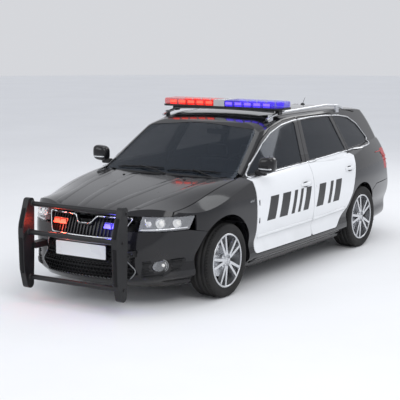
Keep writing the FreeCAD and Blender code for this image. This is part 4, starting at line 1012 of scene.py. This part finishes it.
for hand, sign, glass, bright, dull in (("blue", 1, blue_glass, led_blue, led_blue_soft),
                                        ("red", -1, red_glass, led_red, led_red_soft)):
    bm = bmesh.new()
    extruded(bm, [(x, y, BAR_LOW + 0.0165) for x, y in bar_plan(sign, BAR_MID, 0.0035)],
             (0, 0, BAR_TOP - BAR_LOW - 0.017))
    dome = from_bmesh("bar_dome_" + hand, bm, False)
    bevelled(dome, 0.013, 4, 40)
    finish_piece(dome, CAR, glass, hand + "_lens")
    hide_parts("light_bar_" + hand)
    for row, mat, z0, z1 in (("high", bright, 1.538, 1.564), ("low", dull, 1.524, 1.533)):
        boxes, frames = [], []
        for end in (-1, 1):
            face = BAR_X + end * (BAR_DEPTH / 2 - 0.0035)
            for k in range(5):
                y = sign * (0.112 + 0.104 * k)
                lo, hi = sorted((face - end * 0.010, face + end * 0.0012))
                boxes.append(((lo, y - 0.037, z0), (hi, y + 0.037, z1)))
                lo, hi = sorted((face - end * 0.012, face + end * 0.0004))
                frames.append(((lo, y - 0.043, z0 - 0.004), (hi, y + 0.043, z1 + 0.004)))
        boxed("bar_leds_%s_%s" % (row, hand), boxes, 0.0015, CAR, mat, hand + "_lens")
        if row == "high":
            boxed("bar_led_frames_" + hand, frames, 0.001, CAR, glass, hand + "_lens", 1)
    boxed("bar_end_cap_" + hand, [((BAR_X - 0.05, sign * (BAR_HALF - 0.012) - 0.0115, 1.505),
                                   (BAR_X + 0.05, sign * (BAR_HALF - 0.012) + 0.0115, 1.522))],
          0.004, CAR, *PLASTIC)
ribs = [((BAR_X - BAR_DEPTH / 2 + 0.004, -0.0595 + 0.0132 * k, 1.5205),
         (BAR_X + BAR_DEPTH / 2 - 0.004, -0.0515 + 0.0132 * k, 1.5815)) for k in range(9)]
boxed("bar_centre_ribs", ribs, 0.0016, CAR, satin_silver, "black_plastic", 1)
boxed("bar_centre_lens", [((BAR_X - BAR_DEPTH / 2 + 0.0055, -0.0595, 1.5200),
                           (BAR_X + BAR_DEPTH / 2 - 0.0055, 0.0595, 1.5800))], 0.006, CAR,
      bar_clear, "black_plastic", 3)
for hand, sign in SIDES:
    y = sign * 0.585
    boxed("bar_foot_" + hand, [((BAR_X - dx, y - dy, z0), (BAR_X + dx, y + dy, 1.504))
                               for dx, dy, z0 in ((0.034, 0.021, 1.452), (0.050, 0.030, 1.495))],
          0.005, CAR, *PLASTIC, 3)
    bm = bmesh.new()
    for dx in (-0.02, 0.02):
        cylinder(bm, (BAR_X + dx, y + sign * 0.020, 1.474), (BAR_X + dx, y + sign * 0.0265, 1.474),
                 0.0065, 0.0055, 12)
    finish_piece(from_bmesh("bar_foot_bolts_" + hand, bm), CAR, steel, "black_plastic")
arch = [(BAR_X + 0.055, -0.565 + 1.13 * k / 24, 1.4800 + 0.014 * math.sin(math.pi * k / 24))
        for k in range(25)]
tube("bar_cross_tube", arch, 0.0095, CAR, satin_grey, "black_plastic")

# ------------------------------------------------------------------ push bumper
PUSH_Y, PUSH_HALF, NOSE_X = 0.486, 0.028, FRONT_X + 0.895
for hand, sign in SIDES:
    bm = bmesh.new()
    washers = bmesh.new()
    for x, z in ((0.058, 0.822), (0.112, 0.590), (0.098, 0.205), (-0.02, 0.47), (0.03, 0.47)):
        for side in (-1, 1):
            face = sign * PUSH_Y + side * PUSH_HALF
            if x > 0.05 and side != sign:
                continue
            cylinder(washers, (NOSE_X + x, face - side * 0.001, z),
                     (NOSE_X + x, face + side * 0.0022, z), 0.0165, 0.0155, 28)
            cylinder(bm, (NOSE_X + x, face, z), (NOSE_X + x, face + side * 0.010, z), 0.0105,
                     0.0095, 6)
    finish_piece(from_bmesh("push_bolts_" + hand, bm, False), CAR, *COATED)
    finish_piece(from_bmesh("push_washers_" + hand, washers), CAR, *COATED)
    tree = surface_of("push_bumper")
    for row, (z0, z1) in enumerate(((0.245, 0.545), (0.630, 0.790))):
        line = [(sign * PUSH_Y, z0 + (z1 - z0) * k / 8) for k in range(9)]
        strip_on("push_rubber_%d_%s" % (row, hand), tree, "front", line, 0.036, 0.0055, CAR,
                 rubber, "coated_steel", step=0.02)
    for x, z in ((0.058, 0.822), (0.112, 0.590), (0.098, 0.205)):
        turned("push_weld_%d_%s" % (z * 1000, hand),
               [(0.021, -sign * 0.012), (0.0245, -sign * 0.010), (0.029, -sign * 0.003),
                (0.030, sign * 0.001)], (NOSE_X + x, sign * (PUSH_Y - PUSH_HALF), z), "Y", 32,
               CAR, *COATED)

# ------------------------------------------------------------------ strobes
STROBE_Z, STROBE_HALF, STROBE_Y = 0.677, 0.034, (0.232, 0.306)
for tag, sign, lens in (("blue", 1, strobe_blue), ("red", -1, strobe_red)):
    tree = surface_of("strobes_" + tag)
    for k, y in enumerate(STROBE_Y):
        hit = land(tree, "front", sign * y, STROBE_Z)[0]
        back, face, g = hit.x - 0.010, hit.x + 0.0025, STROBE_HALF
        frame_boxes = [((back, sign * y - g, z0), (face, sign * y + g, z1))
                       for z0, z1 in ((0.6555, 0.6600), (0.6940, 0.6985))]
        frame_boxes += [((back, sign * y + e * g - 0.002, 0.657),
                         (face, sign * y + e * g + 0.002, 0.697)) for e in (-1, 1)]
        boxed("strobe_frame_%s_%d" % (tag, k), frame_boxes, 0.001, CAR, black_plastic,
              tag + "_lens", 1)
        bm = bmesh.new()
        for j in (-1, 0, 1):
            centre = (hit.x + 0.0003, sign * y + j * 0.021, STROBE_Z)
            lathe(bm, [(0.0085, -0.002), (0.0085, 0.0008), (0.006, 0.0018), (0.0001, 0.0022)],
                  centre, "X", 20)
        finish_piece(from_bmesh("strobe_lenses_%s_%d" % (tag, k), bm), CAR, lens,
                     tag + "_lens")

# ------------------------------------------------------------------ cowl, wipers, hood creases
SCREEN = surface_of("windscreen", "body_shell")
HOOD = surface_of("hood")


def hood_edge(y):
    """X of the hood's rear edge."""
    return 1.084 - 0.094 * (y / 0.735) ** 2


strip_on("cowl_grille", SCREEN, "top",
         [(hood_edge(y) - 0.030, y) for y in [-0.66 + 0.06 * k for k in range(23)]], 0.040, 0.002,
         CAR, *PLASTIC, step=0.03)
for tag, pivot, y0, y1 in (("left", 0.60, 0.555, 0.035), ("right", 0.03, -0.02, -0.55)):
    blade = []
    for k in range(13):
        y = y0 + (y1 - y0) * k / 12
        hit, normal = land(SCREEN, "top", hood_edge(y) - 0.095 + 0.02 * k / 12, y)
        blade.append(hit + normal * 0.009)
    tube("wiper_blade_" + tag, blade, 0.0042, CAR, rubber, "black_plastic")
    spine = [p + Vector((0, 0, 0.008)) for p in blade[1:-1]]
    tube("wiper_spine_" + tag, spine, 0.0032, CAR, *PLASTIC)
    foot, normal = land(SCREEN, "top", hood_edge(pivot) - 0.028, pivot)
    foot += Vector((0, 0, 0.008))
    middle = spine[5] + Vector((0, 0, 0.006))
    arm = [foot, foot + Vector((-0.012, (middle.y - foot.y) * 0.12, 0.012)),
           foot.lerp(middle, 0.5) + Vector((0.004, 0, 0.014)), middle]
    tube("wiper_arm_" + tag, arm, 0.0058, CAR, *PLASTIC, kind="NURBS")
    turned("wiper_cap_" + tag, [(0.0001, 0.013), (0.010, 0.012), (0.013, 0.006),
                                (0.0135, -0.010)], foot, "Z", 24, CAR, *PLASTIC)
for hand, sign in SIDES:
    for row, line in enumerate(([(1.035, 0.555), (1.50, 0.500), (1.90, 0.425), (2.085, 0.385)],
                                [(1.11, 0.245), (1.55, 0.205), (1.95, 0.150), (2.12, 0.118)])):
        strip_on("hood_crease_%d_%s" % (row, hand), HOOD, "top",
                 [(x, sign * y) for x, y in line], 0.080, 0.0009, "hood", *PAINTED,
                 step=0.04, sink=0.0004)
    hit, normal = land(HOOD, "top", 1.18, sign * 0.33)
    boxed("washer_jet_" + hand, [(hit + Vector((-0.010, -0.008, -0.002)),
                                  hit + Vector((0.012, 0.008, 0.006)))], 0.003, "hood",
          black_plastic, "body_black")


# ------------------------------------------------------------------ seats
def pad(name, profile, radius, y, half, edge, crown, mat, seams=(), channels=(),
        piping=True, depth=0.008, stands_for=None):
    """A stuffed piece: an outline in X and Z carried across Y, its ends rounded over, its
    faces crowned, with sewn seams across Y and channels along its outline."""
    loop = resampled([(u, v, 0) for u, v in rounded(profile, radius, flat)], 0.013, True)
    n = len(loop)
    turn = sum(loop[i - 1].x * loop[i].y - loop[i].x * loop[i - 1].y for i in range(n))
    outward = []
    for i in range(n):
        along = (loop[(i + 1) % n] - loop[i - 1]).normalized()
        outward.append(Vector((along.y, -along.x, 0)) * (1 if turn > 0 else -1))
    bm = bmesh.new()
    rings = []
    stations = 30
    for k in range(stations + 1):
        off = half * math.sin(math.pi / 2 * (2 * k / stations - 1))
        t = max(0.0, (abs(off) - half + edge) / edge)
        base = crown * (1 - (off / half) ** 2) - 0.85 * edge * (1 - math.sqrt(max(0.0, 1 - t * t)))
        base -= sum(depth * math.exp(-((off - c) / 0.009) ** 2) for c in seams)
        ring = []
        for i, p in enumerate(loop):
            dip = sum(depth * math.exp(-((p - Vector((*c, 0))).length / 0.012) ** 2)
                      for c in channels)
            q = p + outward[i] * (base - dip)
            ring.append(bm.verts.new((q.x, y + off, q.y)))
        rings.append(ring)
    skin(bm, rings, caps=True)
    obj = finish_piece(from_bmesh(name, bm), CAR, mat, "seat_fabric")
    if stands_for:
        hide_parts(stands_for)
    if piping:
        for side in (-1, 1):
            off = side * (half - edge * 0.42)
            cord = [(p.x + o.x * (0.0005 - 0.1 * edge), y + off, p.y + o.y * (0.0005 - 0.1 * edge))
                    for p, o in zip(loop[::2], outward[::2])]
            tube("%s_piping_%s" % (name, "left" if side > 0 else "right"), cord, 0.0028, CAR,
                 seat_side, "seat_fabric", cyclic=True)
    return obj


FLOOR = 0.300
for hand, sign in SIDES:
    x, y = aft(1.640), sign * 0.370
    cushion = [(x + 0.470, FLOOR + 0.130), (x + 0.475, FLOOR + 0.222), (x + 0.03, FLOOR + 0.192),
               (x + 0.01, FLOOR + 0.125)]
    back = [(x + 0.060, FLOOR + 0.200), (x - 0.032, FLOOR + 0.190), (x - 0.228, 0.925),
            (x - 0.140, 0.940)]
    along = [(x + 0.36, FLOOR + 0.214), (x + 0.24, FLOOR + 0.206), (x + 0.12, FLOOR + 0.198)]
    ribs = [(x + 0.060 - 0.200 * t, FLOOR + 0.200 + 0.440 * t) for t in (0.28, 0.5, 0.72, 0.88)]
    pad("seat_cushion_" + hand, cushion, 0.032, y, 0.150, 0.022, 0.007, seat_cloth, (-0.05, 0.05),
        along, stands_for="front_seats")
    pad("seat_back_" + hand, back, 0.034, y, 0.145, 0.022, 0.008, seat_cloth, (), ribs,
        stands_for="front_seats")
    for side in (-1, 1):
        tag = "%s_%s" % ("outer" if side == sign else "inner", hand)
        wing = [(px, pz + (0.012 if pz > FLOOR + 0.15 else 0)) for px, pz in cushion]
        pad("seat_bolster_" + tag, wing, 0.040, y + side * 0.198, 0.047, 0.030, 0.004, seat_side)
        pad("back_bolster_" + tag, [(px + (0.014 if i in (0, 3) else 0), pz)
                                    for i, (px, pz) in enumerate(back)],
            0.040, y + side * 0.190, 0.043, 0.028, 0.004, seat_side)
    pad("head_rest_" + hand, [(x - 0.158, 0.965), (x - 0.152, 1.078), (x - 0.232, 1.085),
                              (x - 0.238, 0.965)], 0.030, y, 0.112, 0.040, 0.004, seat_cloth)
    bm = bmesh.new()
    for off in (-0.05, 0.05):
        cylinder(bm, (x - 0.185, y + off, 0.90), (x - 0.196, y + off, 0.99), 0.006, segments=14)
    finish_piece(from_bmesh("rest_posts_" + hand, bm), CAR, chrome, "seat_fabric")
    boxed("seat_base_" + hand, [((x + 0.05, y - 0.20, FLOOR + 0.055), (x + 0.43, y + 0.20, 0.432)),
                                ((x + 0.02, y - 0.19, FLOOR + 0.001), (x + 0.47, y - 0.155, 0.33)),
                                ((x + 0.02, y + 0.155, FLOOR + 0.001), (x + 0.47, y + 0.19, 0.33))],
          0.012, CAR, dark_grain, "seat_fabric")

x = aft(2.480)
bench = [(x + 0.412, 0.405), (x + 0.422, 0.548), (x + 0.018, 0.522), (x + 0.018, 0.405)]
bench_back = [(x + 0.080, 0.530), (x - 0.050, 0.520), (x - 0.200, 0.990), (x - 0.120, 0.998)]
channels = [(x + 0.34, 0.543), (x + 0.24, 0.536), (x + 0.14, 0.530)]
ribs = [(x + 0.080 - 0.200 * t, 0.530 + 0.468 * t) for t in (0.25, 0.45, 0.65, 0.85)]
for k, (y, half) in enumerate(((-0.370, 0.183), (0.0, 0.185), (0.370, 0.183))):
    pad("bench_cushion_%d" % k, bench, 0.035, y, half, 0.026, 0.007, seat_cloth, (), channels,
        stands_for="rear_bench")
    pad("bench_back_%d" % k, bench_back, 0.035, y, half, 0.026, 0.007, seat_cloth, (), ribs,
        stands_for="rear_bench")
for sign in (-1, 1):
    tag = "left" if sign > 0 else "right"
    pad("bench_rest_" + tag, [(x - 0.140, 1.010), (x - 0.135, 1.118), (x - 0.198, 1.124),
                              (x - 0.202, 1.010)], 0.026, sign * 0.33, 0.102, 0.034, 0.003,
        seat_cloth)
    bm = bmesh.new()
    for off in (-0.04, 0.04):
        cylinder(bm, (x - 0.165, sign * 0.33 + off, 0.96), (x - 0.169, sign * 0.33 + off, 1.03),
                 0.006, segments=14)
    finish_piece(from_bmesh("bench_posts_" + tag, bm), CAR, chrome, "seat_fabric")
boxed("bench_base", [((x + 0.012, -0.555, 0.302), (x + 0.405, 0.555, 0.415))], 0.014, CAR,
      dark_grain, "seat_fabric")

# ------------------------------------------------------------------ cabin trim
DRIVER_Y = 0.370
boxed("centre_console", [((-0.30, -0.095, 0.302), (0.62, 0.095, 0.470)),
                         ((-0.36, -0.085, 0.302), (-0.05, 0.085, 0.545)),
                         ((0.40, -0.110, 0.302), (0.70, 0.110, 0.640))], 0.022, CAR, *TRIM, 3)
bm = bmesh.new()
cylinder(bm, (0.30, 0, 0.465), (0.275, 0, 0.575), 0.010, 0.008, 16)
lathe(bm, [(0.0001, 0.034), (0.016, 0.030), (0.023, 0.014), (0.022, -0.004), (0.012, -0.018)],
      (0.273, 0, 0.590), "Z", 24)
lathe(bm, [(0.062, -0.004), (0.052, 0.012), (0.020, 0.034), (0.011, 0.046)], (0.297, 0, 0.468),
      "Z", 24)
finish_piece(from_bmesh("gear_lever", bm), CAR, seat_side, "black_plastic")
dash_tree = surface_of("dashboard")
for k, y in enumerate((-0.62, -0.085, 0.085, 0.66)):
    hit, normal = drop(dash_tree, (-1.0, y, 0.80), (1, 0, 0))
    bm = bmesh.new()
    lathe(bm, [(0.030, 0.004), (0.036, -0.001), (0.042, -0.004), (0.044, 0.003), (0.044, 0.012)],
          hit + Vector((-0.003, 0, 0)), "X", 32)
    for j in (-1, 0, 1):
        block(bm, hit + Vector((-0.006, -0.030, 0.011 * j - 0.0015)),
              hit + Vector((0.004, 0.030, 0.011 * j + 0.0015)))
    finish_piece(from_bmesh("air_vent_%d" % k, bm), CAR, *PLASTIC)
hit, normal = drop(dash_tree, (-1.0, 0.0, 0.72), (1, 0, 0))
boxed("centre_screen", [(hit + Vector((-0.008, -0.105, -0.050)),
                         hit + Vector((0.020, 0.105, 0.035)))], 0.004, CAR, gloss_plastic,
      "black_plastic")
bm = bmesh.new()
rings = []
for k in range(7):
    t = k / 6
    x = 0.575 + 0.130 * t
    tall = 0.062 * math.sin(math.pi * min(1.0, 1.15 * (1 - t) + 0.02) / 2) + 0.002
    rings.append([bm.verts.new((x, DRIVER_Y + 0.165 * math.cos(a),
                                0.885 + 0.02 * t + tall * max(0.0, math.sin(a)) - 0.03 * (a == 0)))
                  for a in [math.pi * j / 16 for j in range(17)]])
skin(bm, rings, open_rings=True)
hood_piece = from_bmesh("instrument_hood", bm)
modifier(hood_piece, "SOLIDIFY", thickness=0.006, offset=-1)
finish_piece(hood_piece, CAR, *TRIM)

# ------------------------------------------------------------------ rear end
TAIL = surface_of("tailgate", "rear_bumper", "body_shell", "tailgate_glass", "tail_lamps",
                  "tailgate_lamps")
GATE = "tailgate"
strip_on("tailgate_trim", TAIL, "rear", [(-0.455, 0.885), (0.455, 0.885)], 0.026, 0.006, GATE,
         gloss_plastic, "body_black", step=0.03)
hit, normal = land(TAIL, "rear", 0.0, 0.858)
boxed("tailgate_handle", [(hit + Vector((-0.012, -0.085, -0.012)),
                           hit + Vector((0.012, 0.085, 0.008)))], 0.005, GATE, *PLASTIC, 3)
for k, y in enumerate((-0.16, 0.16)):
    boxed("plate_lamp_%d" % k, [(hit + Vector((-0.007, y - 0.025, -0.006)),
                                 hit + Vector((0.012, y + 0.025, 0.006)))], 0.002, GATE,
          lamp_glass_painted_sheen, "black_plastic")
rear_plate_x = land(TAIL, "rear", 0.0, 0.79)[0].x
plate("rear_plate", rear_plate_x - 0.004, -1, 0.732, 0.842, GATE)
strip_on("rear_bumper_lower", TAIL, "rear", [(-0.60, 0.300), (0.60, 0.300)], 0.110, 0.004, CAR,
         *PLASTIC, step=0.05)
strip_on("rear_bumper_pad", TAIL, "rear", [(-0.70, 0.545), (0.70, 0.545)], 0.030, 0.006, CAR,
         *PLASTIC, step=0.05)
for hand, sign in SIDES:
    strip_on("rear_reflector_" + hand, TAIL, "rear", [(sign * 0.50, 0.392), (sign * 0.66, 0.392)],
             0.030, 0.005, CAR, tail_red, "red_lens", step=0.02)
    for k, (y, z, w, mat) in enumerate(((0.725, 0.905, 0.060, tail_red),
                                        (0.725, 0.775, 0.034, lamp_glass_painted_sheen))):
        loop = rounded([(sign * (y - 0.075), z - w / 2), (sign * (y + 0.065), z - w / 2),
                        (sign * (y + 0.060), z + w / 2), (sign * (y - 0.075), z + w / 2)],
                       0.014, flat)
        patch_on("tail_lamp_cell_%d_%s" % (k, hand), TAIL, "rear", loop, 0.0012, CAR, mat,
                 "red_lens", step=0.03)
    for k, z in enumerate((0.835, 0.870, 0.940)):
        strip_on("tail_lamp_rib_%d_%s" % (k, hand), TAIL, "rear",
                 [(sign * 0.635, z), (sign * 0.80, z + 0.004)], 0.008, 0.002, CAR, tail_red,
                 "red_lens", step=0.02)
    for k, y in enumerate((0.22, 0.60)):
        hit, normal = land(TAIL, "rear", sign * y, 0.470)
        turned("parking_sensor_%d_%s" % (k, hand),
               [(0.0001, -0.0026), (0.0085, -0.0022), (0.0105, -0.0006), (0.0115, 0.003)], hit,
               "X", 24, CAR, *PAINTED)
strip_on("high_brake_lamp", TAIL, "rear", [(-0.15, 1.392), (0.15, 1.392)], 0.018, 0.003, GATE,
         tail_red, "red_lens", step=0.03)
glass_tree = surface_of("tailgate_glass")
pivot, normal = land(glass_tree, "rear", 0.0, 1.035)
blade = []
for k in range(11):
    hit, normal = land(glass_tree, "rear", -0.03 - 0.036 * k, 1.062 + 0.004 * k)
    blade.append(hit + normal * 0.009)
tube("rear_wiper_blade", blade, 0.004, GATE, rubber, "black_plastic")
tube("rear_wiper_arm", [pivot + Vector((-0.012, 0, 0)), pivot + Vector((-0.020, -0.05, 0.012)),
                        blade[5] + Vector((-0.010, 0, 0.004))], 0.0055, GATE, *PLASTIC,
     kind="NURBS")
turned("rear_wiper_cap", [(0.0001, -0.020), (0.012, -0.018), (0.017, -0.010), (0.018, 0.004)],
       pivot, "X", 24, GATE, *PLASTIC)

# ------------------------------------------------------------------ sides and roof
for hand, sign in SIDES:
    tree = side_surface[hand]
    strip_on("sill_cover_" + hand, tree, hand, [(aft(d), 0.232) for d in (0.46, 1.0, 1.6, 2.2)],
             0.050, 0.006, CAR, *PAINTED, step=0.06)
    front_of_door = [(aft(0.415), 0.792), (aft(0.345), 0.786), (aft(0.345), 0.768),
                     (aft(0.415), 0.774)]
    patch_on("side_repeater_" + hand, tree, hand, rounded(front_of_door, 0.008, flat), 0.003, CAR,
             lamp_glass_painted_sheen, "clear_lens", step=0.03)
    lock, normal = land(tree, hand, aft(1.462), 0.822)
    turned("door_lock_" + hand,
           [(0.0001, sign * 0.003), (0.008, sign * 0.0025), (0.0105, -sign * 0.001)], lock, "Y",
           20, "front_door_" + hand, *WHITE)
fuel = [(aft(2.800) + 0.085 * math.cos(a), 0.845 + 0.075 * math.sin(a))
        for a in circle(36)]
patch_on("fuel_flap", side_surface["right"], "right", fuel, 0.0015, CAR, *PAINTED,
         step=0.04)
ROOF = surface_of("body_shell", "tailgate")
base, normal = land(ROOF, "top", aft(3.00), 0.0)
bm = bmesh.new()
lathe(bm, [(0.0001, 0.018), (0.012, 0.017), (0.020, 0.010), (0.026, -0.002)], base, "Z", 28)
cylinder(bm, base + Vector((0, 0, 0.012)), base + Vector((-0.055, 0, 0.075)), 0.0030, 0.0018, 12)
finish_piece(from_bmesh("roof_aerial", bm), CAR, *PLASTIC)
for hand, sign in SIDES:
    strip_on("roof_seam_" + hand, ROOF, "top", [(aft(d), sign * 0.560) for d in
                                               (1.15, 1.6, 2.2, 2.8, 3.10)], 0.012, 0.0015, CAR,
             black_plastic, "body_black", step=0.06)

# ------------------------------------------------------------------ cabin: wheel, mirror, door trim
TILT, WHEEL_HUB = math.radians(24), Vector((aft(1.120), DRIVER_Y, 0.925))
column = Vector((-math.cos(TILT), 0, math.sin(TILT)))
turn = column.to_track_quat("X", "Z").to_matrix().to_4x4()
plated("wheel_hub_cover",
       rounded([(-0.062, -0.070), (0.062, -0.070), (0.082, 0.040), (-0.082, 0.040)], 0.035,
               lambda u, v: (0.018, u, v)), (0.016, 0, 0), 0.007, 3, "steering_wheel",
       dark_grain, "wheel_grip", Matrix.Translation(WHEEL_HUB) @ turn)
for hand, sign in SIDES:
    root = WHEEL_HUB - column * 0.075
    tube("column_stalk_" + hand, [root + Vector((0, sign * 0.030, 0)),
                                  root + Vector((0.004, sign * 0.10, 0.012)),
                                  root + Vector((0.010, sign * 0.165, 0.016))], 0.0065, CAR,
         *PLASTIC)
plated("cabin_mirror",
       rounded([(-0.115, 1.252), (0.115, 1.252), (0.122, 1.305), (-0.122, 1.305)], 0.024,
               lambda u, v: (0.085, u, v)), (0.026, 0, 0), 0.007, 3, CAR, *PLASTIC)
boxed("cabin_mirror_glass", [((0.0835, -0.108, 1.259), (0.0865, 0.108, 1.298))], 0.001, CAR,
      mirror_finish)
tube("cabin_mirror_stalk", [(0.105, 0, 1.290), (0.130, 0, 1.318), (0.150, 0, 1.328)], 0.007, CAR,
     *PLASTIC)
for hand, sign in SIDES:
    for end, d0, d1, z in (("front", 0.62, 1.46, 0.640), ("rear", 1.66, 2.22, 0.660)):
        body = "%s_door_%s" % (end, hand)
        inner = surface_of(body)
        mid, normal = drop(inner, (aft((d0 + d1) / 2), 0, z), (0, sign, 0))
        y = abs(mid.y)
        ys = sorted((sign * (y - 0.052), sign * (y + 0.006)))
        rest = [((aft(d1) + 0.05, ys[0], z), (aft(d0) - 0.12, ys[1], z + 0.045))]
        ys = sorted((sign * (y - 0.022), sign * (y + 0.006)))
        rest.append(((aft(d1) + 0.02, ys[0], z - 0.19), (aft(d0) - 0.03, ys[1], z - 0.06)))
        boxed("door_trim_%s_%s" % (end, hand), rest, 0.012, body, dark_grain, "door_white", 3)
        ys = sorted((sign * (y - 0.018), sign * (y + 0.004)))
        boxed("inner_handle_%s_%s" % (end, hand),
              [((aft(d0) - 0.20, ys[0], z + 0.105), (aft(d0) - 0.09, ys[1], z + 0.130))], 0.006,
              body, satin_silver, "door_white", 3)
# ------------------------------------------------------------------ stage, light, camera
def stage():
    s = Shader("studio_floor", (0.84, 0.84, 0.84), 0.9)
    s.color(s.mix(s.spread(s.noise(0.6), 0.0, 1.0), (0.79, 0.79, 0.79), (0.82, 0.82, 0.82)))
    bm = bmesh.new()
    bmesh.ops.create_circle(bm, cap_ends=True, segments=96, radius=40.0)
    floor = from_bmesh("floor", bm)
    floor.data.materials.append(s.mat)
    world = bpy.data.worlds.new("studio")
    world.use_nodes = True
    bpy.context.scene.world = world
    tree = world.node_tree
    tree.nodes.clear()
    out = tree.nodes.new("ShaderNodeOutputWorld")
    soft = tree.nodes.new("ShaderNodeBackground")
    seen = tree.nodes.new("ShaderNodeBackground")
    pick = tree.nodes.new("ShaderNodeMixShader")
    path = tree.nodes.new("ShaderNodeLightPath")
    soft.inputs["Color"].default_value = (0.9, 0.93, 1.0, 1.0)
    soft.inputs["Strength"].default_value = 0.85
    seen.inputs["Color"].default_value = (0.67, 0.68, 0.71, 1.0)
    seen.inputs["Strength"].default_value = 1.0
    rays = path.outputs["Is Camera Ray"]
    for kind in ("Is Glossy Ray", "Is Transmission Ray"):
        either = tree.nodes.new("ShaderNodeMath")
        either.operation = "MAXIMUM"
        tree.links.new(rays, either.inputs[0])
        tree.links.new(path.outputs[kind], either.inputs[1])
        rays = either.outputs[0]
    tree.links.new(rays, pick.inputs["Fac"])
    tree.links.new(soft.outputs[0], pick.inputs[1])
    tree.links.new(seen.outputs[0], pick.inputs[2])
    tree.links.new(pick.outputs[0], out.inputs["Surface"])


def area_light(name, place, target, size, power, color=(1, 1, 1)):
    light = bpy.data.lights.new(name, "AREA")
    light.shape = "RECTANGLE"
    light.size, light.size_y = size
    light.energy = power
    light.color = color
    obj = bpy.data.objects.new(name, light)
    obj.location = place
    obj.rotation_euler = (Vector(target) - Vector(place)).to_track_quat("-Z", "Y").to_euler()
    bpy.context.scene.collection.objects.link(obj)
    return obj


stage()
area_light("key", (5.0, 5.5, 6.5), (0.3, 0, 0.6), (5.0, 5.0), 215)
area_light("fill", (7.5, -5.0, 4.5), (0.5, 0, 0.6), (4.0, 4.0), 90, (0.95, 0.97, 1.0))
area_light("back", (-6.5, 2.5, 5.0), (-0.5, 0, 0.8), (5.0, 3.0), 120)
area_light("top", (0.0, 0.0, 7.5), (0, 0, 0), (7.0, 3.0), 105, (0.96, 0.98, 1.0))


def glow(name, place, color, power):
    """A small lamp that stands for the light of the strobes on what is near them."""
    light = bpy.data.lights.new(name, "POINT")
    light.energy, light.color, light.shadow_soft_size = power, color, 0.03
    obj = bpy.data.objects.new(name, light)
    obj.location = place
    bpy.context.scene.collection.objects.link(obj)


GLOW_X, GLOW_Y, GLOW_Z, GLOW_POWER = 2.235, 0.30, 0.665, 1.6
glow("glow_red", (GLOW_X, -GLOW_Y, GLOW_Z), (1.0, 0.08, 0.04), GLOW_POWER)
glow("glow_blue", (GLOW_X, GLOW_Y, GLOW_Z), (0.12, 0.10, 1.0), GLOW_POWER)

# the viewing angle: place, heading, dip and lens
CAMERA, LENS, SENSOR = (9.591, 5.904, 2.327), 104.15, 36.0
HEADING, DIP = math.radians(32.757), math.radians(8.76)
camera = bpy.data.objects.new("camera", bpy.data.cameras.new("camera"))
camera.data.lens = LENS
camera.data.sensor_width = SENSOR
camera.location = CAMERA
aim = Vector((-math.cos(HEADING) * math.cos(DIP), -math.sin(HEADING) * math.cos(DIP),
              -math.sin(DIP)))
camera.rotation_euler = aim.to_track_quat("-Z", "Y").to_euler()
bpy.context.scene.collection.objects.link(camera)
bpy.context.scene.camera = camera
bpy.context.scene.view_settings.view_transform = "Standard"
